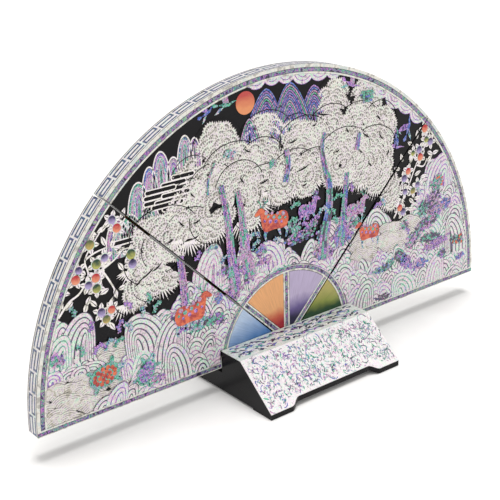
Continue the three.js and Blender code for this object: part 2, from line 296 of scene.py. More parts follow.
@dataclass(frozen=True)
class AbaloneShell(Finish):
    """Polished abalone: swirled patches of violet, blue, sea green and pink, dark where they are deep."""

    tones: tuple[str, ...] = ABALONE_TONES
    swirl_mm: float = 2.2
    streak_mm: float = 0.7
    streak_depth: float = 0.55
    roughness: float = 0.25

    def dress(self, nodes: Nodes) -> None:
        """Swirled colour patches, broken by fine dark streaks, under a clear polish.

        Args:
            nodes: The material's nodes.
        """
        tone = nodes.even_ramp(nodes.noise(self.swirl_mm, 2.0, 2.0), self.tones)
        streak = nodes.noise(self.streak_mm, 2.0, 1.5)
        shade = nodes.fitted(streak, 1.0 - self.streak_depth, 1.0, 0.4, 0.53)
        nodes.fill(Base_Color=nodes.shaded(tone, shade), Normal=nodes.bumps(streak, 0.2, 0.04),
                   Roughness=self.roughness, IOR=ABALONE_IOR)


@dataclass(frozen=True)
class StripedBorder(Finish):
    """White shell, a coloured stripe and white shell again, laid side by side with dark seams between."""

    edges_mm: tuple[float, float, float, float] = (0.9, 1.1, 2.7, 2.9)
    direction: tuple[float, float] | None = None
    offset_mm: float = 0.0

    def dress(self, nodes: Nodes) -> None:
        """Picks white, dark or coloured by the distance from the border's edge.

        Args:
            nodes: The material's nodes.
        """
        offset = nodes.from_hub()
        if self.direction is None:
            reach = nodes.reach(offset)
        else:
            across = (self.direction[0], 0.0, self.direction[1])
            reach = nodes.vector("DOT_PRODUCT", offset, across).outputs["Value"]
        depth = add_node(nodes.tree, "ShaderNodeMapRange", {
            "Value": reach, "From Min": self.offset_mm * MM, "From Max": (self.offset_mm + 10) * MM,
            "To Max": 10.0}, clamp=False).outputs["Result"]
        colours = nodes.ramp(
            nodes.noise(3.2, 3.0, 1.5), (0.38, "#1a1c2c"), (0.42, "#5a3f9c"), (0.46, "#c07ab4"),
            (0.50, "#24486a"), (0.54, "#3fa890"), (0.57, "#b8b87c"), (0.60, "#5f4fa8"), (0.66, "#20222e"))
        white = nodes.ramp(nodes.noise(3, 4.0), (0.36, "#a5a29c"), (0.5, "#e0dcd2"), (0.62, "#c4ccc8"))
        start, near, far, end = self.edges_mm
        stripe = nodes.sum("COMPARE", depth, (near + far) / 2, (far - near) / 2)
        seam = nodes.sum("COMPARE", depth, (start + end) / 2, (end - start) / 2)
        outer = nodes.chosen(seam, white, linear("#1c1a1f"))
        nodes.fill(Base_Color=nodes.chosen(stripe, outer, colours), Roughness=0.28, IOR=SHELL_IOR)


@dataclass(frozen=True)
class DyedFan(Finish):
    """A thin wedge of dyed shell: its colour deepens towards the stand, with fine radial streaks."""

    deep: str = "#1d2f5a"
    middle: str = "#5f86b8"
    pale: str = "#a9bcd6"
    stops_mm: tuple[float, float, float] = (12.0, 17.0, 22.0)
    sink: tuple[float, float] = (0.0, 1.0)

    def dress(self, nodes: Nodes) -> None:
        """A gradient along the way the dye sank, darkened and lightened by thin radial streaks.

        Args:
            nodes: The material's nodes.
        """
        tree, offset, longest_mm = nodes.tree, nodes.from_hub(), 50
        parts = add_node(tree, "ShaderNodeSeparateXYZ", {0: offset})
        angle = nodes.sum("ARCTAN2", parts.outputs["Z"], parts.outputs["X"])
        round_the_hub = add_node(tree, "ShaderNodeCombineXYZ", {0: angle, 1: nodes.reach(offset)})
        streaks = add_node(tree, "ShaderNodeMapping", {
            "Vector": round_the_hub.outputs[0], "Scale": (38.0, 60.0, 1.0)})
        streak = add_node(tree, "ShaderNodeTexNoise", {
            "Vector": streaks.outputs[0], "Scale": 1.6, "Detail": 5.0}).outputs["Fac"]
        sunk = nodes.vector("DOT_PRODUCT", offset, (self.sink[0], 0.0, self.sink[1])).outputs["Value"]
        share = nodes.fitted(sunk, end=longest_mm * MM)
        lifted = nodes.sum("ADD", share, nodes.fitted(nodes.noise(9, 3.0), -0.08, 0.08))
        deep_to, middle_at, pale_from = (stop / longest_mm for stop in self.stops_mm)
        tone = nodes.ramp(lifted, (deep_to, self.deep), (middle_at, self.middle), (pale_from, self.pale),
                          (1.0, self.pale))
        colour = nodes.shaded(tone, nodes.fitted(streak, 0.82, 1.06, 0.3, 0.7))
        nodes.fill(Base_Color=colour, Normal=nodes.bumps(streak, 0.15, 0.05), Roughness=0.34, IOR=DYED_IOR)


@dataclass(frozen=True)
class DyedShell(Finish):
    """Dyed shell, mottled where the dye took unevenly."""

    dark: str = "#b23a34"
    light: str = "#e89a6c"
    mottle_mm: float = 3.0

    def dress(self, nodes: Nodes) -> None:
        """Mottled between two tones, with a fine grain in its polish.

        Args:
            nodes: The material's nodes.
        """
        mottle = nodes.noise(self.mottle_mm, 4.0, 1.0)
        nodes.fill(Base_Color=self.tone(nodes, mottle), Normal=nodes.bumps(mottle, 0.1, 0.05),
                   Roughness=0.3, IOR=DYED_IOR)

    def tone(self, nodes: Nodes, mottle: NodeSocket) -> NodeSocket:
        """The colour by the mottling alone."""
        return nodes.ramp(mottle, (0.38, self.dark), (0.6, self.light))


@dataclass(frozen=True)
class RisingDye(DyedShell):
    """Dyed shell that pales from its top to its foot, like a setting sun."""

    top_mm: float = 155.0
    foot_mm: float = 144.0

    def tone(self, nodes: Nodes, mottle: NodeSocket) -> NodeSocket:
        """Colours by the height, moved a little by the mottling.

        Args:
            nodes: The material's nodes.
            mottle: The mottling's grey value.

        Returns:
            The colour.
        """
        height = add_node(nodes.tree, "ShaderNodeSeparateXYZ", {0: nodes.place}).outputs["Z"]
        share = nodes.fitted(height, start=self.foot_mm * MM, end=self.top_mm * MM)
        lifted = nodes.sum("ADD", share, nodes.fitted(mottle, -0.25, 0.25))
        return nodes.ramp(lifted, (0.25, self.light), (0.8, self.dark))


@dataclass(frozen=True)
class FruitDye(DyedShell):
    """Dyed shell of a fruit: deep on one side of each dome and pale on the other."""

    def tone(self, nodes: Nodes, mottle: NodeSocket) -> NodeSocket:
        """Colours by the fruit's own unwrapped height, moved a little by the mottling.

        Args:
            nodes: The material's nodes.
            mottle: The mottling's grey value.

        Returns:
            The colour.
        """
        unwrapped = add_node(nodes.tree, "ShaderNodeUVMap").outputs["UV"]
        height = add_node(nodes.tree, "ShaderNodeSeparateXYZ", {0: unwrapped}).outputs["Y"]
        lifted = nodes.sum("ADD", height, nodes.fitted(mottle, -0.3, 0.3))
        return nodes.ramp(lifted, (0.3, self.light), (0.72, self.dark))


@dataclass(frozen=True)
class SatinBrass(Finish):
    """Rolled brass sheet, satin: warm yellow with fine scratches and darker where hands don't reach."""

    def dress(self, nodes: Nodes) -> None:
        """Warm metal, cloudy with tarnish, its gloss broken by fine scratches.

        Args:
            nodes: The material's nodes.
        """
        tone = nodes.ramp(nodes.noise(5, 5.0), (0.32, "#a98549"), (0.5, "#b8924f"), (0.7, "#bf9c5a"))
        nodes.fill(Base_Color=tone, Roughness=nodes.fitted(nodes.noise(0.5, 2.0), 0.26, 0.42), Metallic=1.0)


@dataclass(frozen=True)
class PaleFloor(Finish):
    """Pale matt paper with a faint tooth."""

    def dress(self, nodes: Nodes) -> None:
        """Two near tones of off-white, without gloss."""
        nodes.fill(Base_Color=nodes.ramp(nodes.noise(25), (0.3, "#f4f2f0"), (0.7, "#f8f7f5")),
                   Roughness=0.8)


class Kind(Enum):
    """The shells and grounds that the picture is cut from."""

    WHITE = "white_shell"
    PINE = "pine_shell"
    PINE_LINE = "pine_line_shell"
    ROCK = "rock_shell"
    WATER = "water_shell"
    ABALONE = "abalone_shell"
    VIOLET = "violet_abalone"
    BLUE = "blue_abalone"
    GREEN = "green_abalone"
    PINK = "pink_abalone"
    DARK = "dark_line"
    BLACK = "black_line"
    RED = "red_dyed_shell"
    FRET = "fret_shell"


FINISHES: dict[Kind, Finish] = {
    Kind.WHITE: PearlShell("pearl_white_shell", tones=("#cfcac0", "#f4f0e6", "#ebe0ea", "#f6f2e8"),
                           growth_mm=0.6, growth_depth=0.15),
    Kind.PINE: PearlShell("pearl_pine_shell", growth_mm=0.7),
    Kind.PINE_LINE: PearlShell("pearl_pine_line", tones=("#56534e", "#8f8a82", "#7c787c", "#9c968c"),
                               growth_depth=0.3),
    Kind.ROCK: PearlShell("pearl_rock_shell", tones=("#a9a0a8", "#ece7dc", "#dcaed8", "#f2eee2", "#a6e0c2",
                                                     "#ece4de", "#cdb6e4")),
    Kind.WATER: PearlShell("pearl_water_shell",
                           tones=("#b4aea0", "#dcd7c8", "#d6c8d6", "#e6e1d2", "#c8dccc"),
                           growth_mm=0.6, growth_depth=0.3),
    Kind.ABALONE: AbaloneShell("abalone_mixed"),
    Kind.VIOLET: AbaloneShell("abalone_violet",
                              tones=("#2a2444", "#5c3fa8", "#8a62cc", "#cf86cc", "#dca6cc",
                                                       "#5f84d0", "#4c3490")),
    Kind.BLUE: AbaloneShell("abalone_blue", tones=("#1a2250", "#2c4cb0", "#4f80dc", "#5c40a4", "#7cb2e4",
                                                   "#c07ac8", "#2f929c")),
    Kind.GREEN: AbaloneShell("abalone_green", tones=("#18343a", "#1f7f74", "#3fbf9c", "#7ccf8c", "#4f9fc8",
                                                     "#cfa6c8", "#1f8a66")),
    Kind.PINK: AbaloneShell("abalone_pink", tones=("#5a2f5c", "#cf7aba", "#ecb6d8", "#b070c8", "#78cfa4",
                                                   "#e090ac", "#6448a4")),
    Kind.DARK: AbaloneShell("abalone_dark_line",
                            tones=("#1c1c24", "#4f3f80", "#1f544f", "#7f3f78", "#262c38",
                                                        "#2f6a5c"), swirl_mm=4.0),
    Kind.BLACK: RubbedLacquer("black_line_lacquer", roughness=0.4),
    Kind.RED: DyedShell("dyed_red_shell", dark="#9c2428", light="#d8683e"),
    Kind.FRET: AbaloneShell("abalone_fret", tones=("#1c1e28", "#3f4360", "#4f5a8c", "#3f6a70", "#54477c",
                                                   "#6a7088"), swirl_mm=3.0, streak_depth=0.3),
}

SLOTS: dict[Kind, str] = {
    Kind.WHITE: "white_shell", Kind.PINE: "white_shell", Kind.PINE_LINE: "white_shell",
    Kind.ROCK: "white_shell", Kind.WATER: "white_shell", Kind.RED: "red_shell",
    Kind.BLACK: "lacquered_wood",
}

DYES: dict[str, DyedShell] = {
    "purple": FruitDye("dyed_purple_fruit", dark="#2f2650", light="#a898c6", mottle_mm=2.4),
    "red": FruitDye("dyed_red_fruit", dark="#b02e30", light="#dd8c68", mottle_mm=2.4),
    "olive": FruitDye("dyed_olive_fruit", dark="#4c5a34", light="#b49c52", mottle_mm=2.4),
    "green": FruitDye("dyed_green_fruit", dark="#173c28", light="#a8a850", mottle_mm=2.4),
}


# ---- outlines ----------------------------------------------------------------------------------
def keep(outline: Sequence[Point], nx: float, nz: float, c: float) -> list[Point]:
    """Cuts an outline along a line.

    Args:
        outline: Its corners.
        nx: The line's direction square to it, in x.
        nz: The same, in z.
        c: What lies at nx*x + nz*z of at least this is kept.

    Returns:
        The corners of what is kept.
    """
    sides = [nx * x + nz * z - c for x, z in outline]
    if min(sides) >= 0:
        return list(outline)
    if max(sides) <= 0:
        return []
    kept: list[Point] = []
    for i, (p, a) in enumerate(zip(outline, sides)):
        q, b = outline[(i + 1) % len(outline)], sides[(i + 1) % len(outline)]
        if a >= 0:
            kept.append(p)
        if a * b < 0:
            t = a / (a - b)
            kept.append((p[0] + (q[0] - p[0]) * t, p[1] + (q[1] - p[1]) * t))
    return kept


def area(outline: Sequence[Point]) -> float:
    """The outline's area in square millimetres, positive where it runs anticlockwise."""
    return sum(p[0] * q[1] - q[0] * p[1] for p, q in zip(outline, [*outline[1:], outline[0]])) / 2


def arc(x: float, z: float, radius: float, start: float, end: float, steps: int) -> list[Point]:
    """Points along an arc.

    Args:
        x: Centre.
        z: Centre.
        radius: Its radius.
        start: First angle, in degrees.
        end: Last angle, in degrees.
        steps: How many straight pieces.

    Returns:
        The points, first and last included.
    """
    angles = [math.radians(start + (end - start) * i / steps) for i in range(steps + 1)]
    return [(x + radius * math.cos(a), z + radius * math.sin(a)) for a in angles]


def turned(outline: Iterable[Point], x: float, z: float, size: float = 1.0, angle: float = 0.0,
           flip: bool = False) -> list[Point]:
    """Moves an outline drawn about zero to its place.

    Args:
        outline: The points.
        x: Where zero goes.
        z: Where zero goes.
        size: Scale.
        angle: Turn in degrees.
        flip: Whether it faces the other way.

    Returns:
        The points in place.
    """
    c, s = math.cos(math.radians(angle)) * size, math.sin(math.radians(angle)) * size
    side = -1.0 if flip else 1.0
    return [(x + c * side * px - s * pz, z + s * side * px + c * pz) for px, pz in outline]


@dataclass(frozen=True)
class Tilt:
    """How high a shell piece stands: its lift at a pivot, and its rise away from it."""

    lift: float = 0.0
    pivot: Point = (0.0, 0.0)
    slope: Point = (0.0, 0.0)

    def at(self, x: float, z: float) -> float:
        """The height over the ground at a point, in millimetres."""
        return self.lift + self.slope[0] * (x - self.pivot[0]) + self.slope[1] * (z - self.pivot[1])

    def raised(self, more: float) -> "Tilt":
        """The same slope, higher."""
        return Tilt(self.lift + more, self.pivot, self.slope)


# ---- grounds that shell is laid on --------------------------------------------------------------
@dataclass(frozen=True)
class FlatGround:
    """A flat face: a point on it in metres, its two directions and the way it faces."""

    origin: Vector
    right: Vector
    up: Vector
    out: Vector

    def place(self, x: float, z: float, lift: float) -> Vector:
        """The point of space for a point of the drawing."""
        return self.origin + (self.right * x + self.up * z + self.out * lift) * MM


@dataclass(frozen=True)
class RimGround:
    """The fan's round outer edge: x is the distance along the arc from the right, z runs to the back."""

    def place(self, x: float, z: float, lift: float) -> Vector:
        """The point of space for a point of the drawing."""
        angle, reach = x / FAN_RADIUS, (FAN_RADIUS + lift) * MM
        return Vector((reach * math.cos(angle), z * MM, HUB_HEIGHT * MM + reach * math.sin(angle)))


Ground = FlatGround | RimGround


def only(piece: Object) -> None:
    """Selects one object alone and makes it active.

    Args:
        piece: The object.
    """
    bpy.ops.object.select_all(action="DESELECT")
    piece.select_set(True)
    bpy.context.view_layer.objects.active = piece


def apply_modifier(piece: Object, kind: str, **settings: object) -> None:
    """Adds a modifier, gives it its settings and applies it.

    Args:
        piece: The object.
        kind: Blender's name for the modifier type.
        settings: The modifier's own properties.
    """
    only(piece)
    made = piece.modifiers.new(kind.lower(), kind)
    for key, value in settings.items():
        setattr(made, key, value)
    bpy.ops.object.modifier_apply(modifier=made.name)


@dataclass
class Marquetry:
    """Shell pieces of one finish on one body: sawn flat, joined where they share a line, then thickened."""

    name: str
    body: str
    ground: Ground
    thickness: float = 0.1
    corners: list[Vector] = field(default_factory=list)
    pieces: list[list[int]] = field(default_factory=list)

    def lay(self, outline: Sequence[Point], tilt: Tilt) -> None:
        """Lays one flat piece.

        Args:
            outline: Its corners.
            tilt: How high it stands.
        """
        ordered = outline if area(outline) > 0 else list(reversed(outline))
        first = len(self.corners)
        self.corners += [self.ground.place(x, z, tilt.at(x, z)) for x, z in ordered]
        self.pieces.append(list(range(first, len(self.corners))))

    def build(self, finish: Material, slot: str) -> Object:
        """Makes the object and lets it ride on its body.

        Args:
            finish: Its material.
            slot: The part's material slot. Not used.

        Returns:
            The object.
        """
        mesh = bpy.data.meshes.new(self.name)
        mesh.from_pydata(self.corners, [], self.pieces)
        piece = bpy.data.objects.new(self.name, mesh)
        bpy.context.scene.collection.objects.link(piece)
        only(piece)
        bpy.ops.object.mode_set(mode="EDIT")
        bpy.ops.mesh.select_all(action="SELECT")
        bpy.ops.mesh.remove_doubles(threshold=0.002 * MM)
        bpy.ops.mesh.dissolve_degenerate(threshold=0.004 * MM)
        bpy.ops.object.mode_set(mode="OBJECT")
        offset = -1.0 if isinstance(self.ground, FlatGround) else 1.0
        apply_modifier(piece, "SOLIDIFY", thickness=self.thickness * MM, offset=offset)
        mesh.materials.append(finish)
        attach(piece, self.body)
        LOG.info("%s: %d shell faces", self.name, len(mesh.polygons))
        return piece


class Leaf(Enum):
    """The fan's three leaves, by the body that each is."""

    CENTRE = "centre_leaf"
    LEFT = "left_leaf"
    RIGHT = "right_leaf"

    @property
    def limits(self) -> list[tuple[float, float, float]]:
        """The lines that bound the leaf's picture.

        Returns:
            Each line's direction and distance, as keep takes them.
        """
        d, margin = DIAGONAL, SEAM_MARGIN
        return {
            Leaf.CENTRE: [(-d, d, margin), (d, d, margin)],
            Leaf.LEFT: [(-d, -d, margin), (0.0, 1.0, PICTURE_FLOOR)],
            Leaf.RIGHT: [(d, -d, margin), (0.0, 1.0, PICTURE_FLOOR)],
        }[self]


def inside_picture(outline: Sequence[Point]) -> list[Point]:
    """Pulls an outline in to the ring between the hub and the border.

    Args:
        outline: Its corners.

    Returns:
        The corners, or nothing if it lies wholly outside.
    """
    reaches = [math.hypot(x, z) for x, z in outline]
    if min(reaches) >= PICTURE_RADIUS or max(reaches) <= HUB_RADIUS:
        return []
    if max(reaches) <= PICTURE_RADIUS and min(reaches) >= HUB_RADIUS:
        return list(outline)
    pulled = []
    for (x, z), reach in zip(outline, reaches):
        wanted = min(max(reach, HUB_RADIUS + 0.1), PICTURE_RADIUS)
        pulled.append((x * wanted / reach, z * wanted / reach))
    return pulled


def keep_within(outline: Sequence[Point], limits: Sequence[tuple[float, float, float]]) -> list[Point]:
    """Cuts an outline along several lines.

    Args:
        outline: Its corners.
        limits: The lines, as keep takes them.

    Returns:
        The corners of what is kept.
    """
    cut = list(outline)
    for nx, nz, c in limits:
        if len(cut) > 2:
            cut = keep(cut, nx, nz, c)
    return cut


def clear_of_lip(outline: Sequence[Point]) -> list[list[Point]]:
    """Leaves out what would lie behind the stand's lip, where the fan's face almost touches it.

    Args:
        outline: Its corners.

    Returns:
        The parts that are left.
    """
    if len(outline) < 3 or min(z for _, z in outline) >= LIP_TOP:
        return [list(outline)]
    beside = [keep(outline, -1.0, 0.0, LIP_HALF), keep(outline, 1.0, 0.0, LIP_HALF)]
    above = keep_within(outline, [(1.0, 0.0, -LIP_HALF), (-1.0, 0.0, -LIP_HALF), (0.0, 1.0, LIP_TOP)])
    return [part for part in (*beside, above) if len(part) > 2]


# ---- the picture -------------------------------------------------------------------------------
@dataclass(frozen=True)
class Scales:
    """How a fan-shaped scale is cut: nested arcs of one shell over a ground of another."""

    face: Kind
    line: Kind
    reach: float
    spacing: float
    spread: float = 170.0
    rings: int = 3
    pitch: float = 1.7
    gap: float = 0.38
    fringe: float = 0.0
    rise: float = 0.16
    wander: float = 0.12


@dataclass(frozen=True)
class Cluster:
    """A mass of scales, all pointing away from its root."""

    x: float
    z: float
    half_width: float
    half_height: float
    level: float = 0.0
    root: Point | None = None
    square: bool = False

    def holds(self, x: float, z: float) -> bool:
        """Whether a point lies inside it."""
        dx, dz = abs(x - self.x) / self.half_width, abs(z - self.z) / self.half_height
        return max(dx, dz) <= 1 if self.square else math.hypot(dx, dz) <= 1


@dataclass(frozen=True)
class Arch:
    """A rock or swell drawn in nested arches: its foot, its size, its lean and the shell of its lines."""

    x: float
    z: float
    half: float
    height: float
    lean: float = 0.0
    line: Kind = Kind.DARK
    pitch: float = 2.1
    gap: float = 0.55
    point: float = 0.0

    def path(self, inset: float) -> list[Point]:
        """Points along the arch, or along a smaller one inside it.

        Args:
            inset: How much smaller, in millimetres.

        Returns:
            The points, from its left foot over the top to its right foot.
        """
        half = max(self.half - inset, 0.2)
        height = max(self.height - inset * min(1.25, 0.35 + 0.55 * self.height / self.half), 0.4)
        made = []
        for i in range(23):
            a = math.pi * i / 22
            rise = height * (1 - abs(math.cos(a)) ** self.point if self.point else math.sin(a) ** 0.75)
            curl = self.lean * (rise / self.height) ** 1.6 + 0.09 * self.lean * max(inset, 0.0)
            made.append((self.x - half * math.cos(a) + curl, self.z + rise))
        return made


class Picture:
    """The picture on the three leaves. Every motif is laid once, and cut where it crosses a seam."""

    def __init__(self) -> None:
        """Prepares an empty picture on the leaves' faces."""
        self.ground = FlatGround(Vector((0, GROUND_Y, HUB_HEIGHT * MM)), Vector((1, 0, 0)),
                                 Vector((0, 0, 1)),
                                 Vector((0, -1, 0)))
        self.sheets: dict[tuple[Kind, Leaf], Marquetry] = {}
        self.chance = random.Random(7)

    def lay(self, kind: Kind, outline: Sequence[Point], tilt: Tilt) -> None:
        """Lays one piece of shell on every leaf that it reaches.

        Args:
            kind: The shell.
            outline: Its corners.
            tilt: How high it stands.
        """
        for leaf in Leaf:
            for part in clear_of_lip(inside_picture(outline)):
                cut = keep_within(part, leaf.limits)
                if len(cut) > 2 and abs(area(cut)) > 0.004:
                    key = (kind, leaf)
                    if key not in self.sheets:
                        self.sheets[key] = Marquetry(f"{leaf.value}_{kind.value}", leaf.value, self.ground)
                    self.sheets[key].lay(cut, tilt)

    def band(self, kind: Kind, outer: Sequence[Point], inner: Sequence[Point], tilt: Tilt,
             closed: bool = False) -> None:
        """Lays a strip between two lines that have the same number of points.

        Args:
            kind: The shell.
            outer: One edge.
            inner: The other edge.
            tilt: How high it stands.
            closed: Whether the strip runs round to its start.
        """
        last = len(outer) if closed else len(outer) - 1
        for i in range(last):
            j = (i + 1) % len(outer)
            self.lay(kind, [outer[i], outer[j], inner[j], inner[i]], tilt)

    def line(self, kind: Kind, path: Sequence[Point], width: float, tilt: Tilt, taper: float = 1.0) -> None:
        """Lays a line of shell along a path.

        Args:
            kind: The shell.
            path: Its points.
            width: Its width at the start.
            tilt: How high it stands.
            taper: Its width at the end, as a share of the start's.
        """
        left, right = [], []
        for i, (x, z) in enumerate(path):
            before, after = path[max(i - 1, 0)], path[min(i + 1, len(path) - 1)]
            dx, dz = after[0] - before[0], after[1] - before[1]
            length = math.hypot(dx, dz) or 1.0
            half = width / 2 * (1 + (taper - 1) * i / (len(path) - 1))
            left.append((x - dz / length * half, z + dx / length * half))
            right.append((x + dz / length * half, z - dx / length * half))
        self.band(kind, left, right, tilt)

    def scale(self, cut: Scales, x: float, z: float, heading: float, lift: float,
              reach: float | None = None) -> None:
        """Lays one fan-shaped scale, highest at its round edge so that it covers the next one's foot.

        Args:
            cut: How it is cut.
            x: Its foot.
            z: Its foot.
            heading: The way it opens, in degrees.
            lift: Its height at the foot.
            reach: Its radius, if not the cut's own.
        """
        size = reach or cut.reach
        start, end = heading - cut.spread / 2, heading + cut.spread / 2
        rise = cut.rise / size
        tilt = Tilt(lift, (x, z),
                    (rise * math.cos(math.radians(heading)), rise * math.sin(math.radians(heading))))
        back = arc(x, z, size + 0.3 - cut.fringe * 0.6, start - 3, end + 3, 14)
        self.lay(cut.line, [*back, (x, z)], tilt)
        face = tilt.raised(0.035)
        for ring in range(cut.rings):
            outer = size - ring * cut.pitch
            inner = outer - cut.pitch + cut.gap
            if inner < 0.5:
                break
            fringed = cut.fringe > 0
            step = 0.8 if fringed else 1.5
            count = max(6, 2 * round(outer * math.radians(cut.spread) / step / 2))
            rim = arc(x, z, outer, start, end, count)
            if fringed:
                toothed = arc(x, z, outer - cut.fringe, start, end, count)
                rim = [toothed[i] if i % 2 else p for i, p in enumerate(rim)]
            self.band(cut.face, rim, arc(x, z, inner, start, end, count), face)
        core = size - cut.rings * cut.pitch
        if core > 0.8:
            self.lay(cut.face, [*arc(x, z, core, start, end, 8), (x, z)], face)

    def cluster(self, cut: Scales, mass: Cluster) -> None:
        """Fills a mass with scales, row behind row.

        Args:
            cut: How the scales are cut.
            mass: Where it is.
        """
        root = mass.root or (mass.x, mass.z - mass.half_height * 1.3)
        step_x, step_z = cut.spacing, cut.spacing * 0.8
        rows = math.ceil(mass.half_height / step_z)
        columns = math.ceil(mass.half_width / step_x) + 1
        for row in range(-rows, rows + 1):
            for column in range(-columns, columns + 1):
                shift = self.chance.uniform(-1, 1) * cut.spacing * cut.wander
                x = mass.x + (column + 0.5 * (row % 2)) * step_x + shift
                z = mass.z + row * step_z + shift * 0.6
                size = cut.reach * self.chance.uniform(0.9, 1.15)
                heading = math.degrees(math.atan2(z - root[1], x - root[0]))
                if mass.holds(x, z):
                    self.scale(cut, x, z, heading, mass.level, reach=size)

    def arches(self, arch: Arch, level: float) -> None:
        """Lays a rock or swell as nested arches of white shell over a plate of another shell.

        Args:
            arch: Its shape.
            level: Its height.
        """
        self.lay(arch.line, arch.path(-0.3), Tilt(level))
        inset = 0.0
        while inset < arch.half - 0.6:
            width = min(arch.pitch - arch.gap, arch.half - inset - 0.2)
            self.band(Kind.ROCK, arch.path(inset), arch.path(inset + width), Tilt(level + 0.01))
            inset += arch.pitch

    def mosaic(self, x: float, z: float, half_width: float, half_height: float, angle: float,
               kinds: Sequence[Kind], chip: float = 1.7) -> None:
        """Lays an oval patch of small irregular chips.

        Args:
            x: Its middle.
            z: Its middle.
            half_width: Half its length.
            half_height: Half its breadth.
            angle: The way it lies, in degrees.
            kinds: The shells its chips are cut from.
            chip: The size of a chip.
        """
        columns, rows = math.ceil(half_width / chip), math.ceil(half_height / (chip * 0.75))
        for row in range(-rows, rows + 1):
            for column in range(-columns, columns + 1):
                px = (column + 0.5 * (row % 2)) * chip + self.chance.uniform(-0.3, 0.3)
                pz = row * chip * 0.75 + self.chance.uniform(-0.25, 0.25)
                if math.hypot(px / half_width, pz / half_height) > self.chance.uniform(0.75, 1.05):
                    continue
                corners = [(px + chip * 0.6 * self.chance.uniform(0.75, 1.2) * math.cos(math.tau * k / 6),
                            pz + chip * 0.42 * self.chance.uniform(0.75, 1.2) * math.sin(math.tau * k / 6))
                           for k in range(6)]
                self.lay(self.chance.choice(kinds), turned(corners, x, z, 1, angle),
                         Tilt(0.78 + 0.003 * self.chance.randrange(5)))

    def build(self) -> None:
        """Makes every sheet of shell."""
        made = {kind: finish.make() for kind, finish in FINISHES.items()}
        for (kind, _), sheet in self.sheets.items():
            sheet.build(made[kind], SLOTS.get(kind, "abalone_stripe"))


PINE = Scales(Kind.PINE, Kind.PINE_LINE, reach=5.2, spacing=4.4, spread=150, rings=2, pitch=2.0, gap=0.12,
              fringe=1.35, rise=0.12)
RIPPLE = Scales(Kind.WATER, Kind.PINE_LINE, reach=8.0, spacing=6.2, spread=100, rings=7, pitch=1.1, gap=0.3,
                rise=0.08, wander=0.5)
CLOUD = Scales(Kind.ROCK, Kind.VIOLET, reach=6.0, spacing=6.5, spread=190, rings=3, pitch=1.9, gap=0.4,
               rise=0.1)
SHORT: dict[str, Kind] = {"V": Kind.VIOLET, "P": Kind.PINK, "G": Kind.GREEN, "B": Kind.BLUE, "D": Kind.DARK,
                          "A": Kind.ABALONE, "W": Kind.ROCK, "R": Kind.RED}


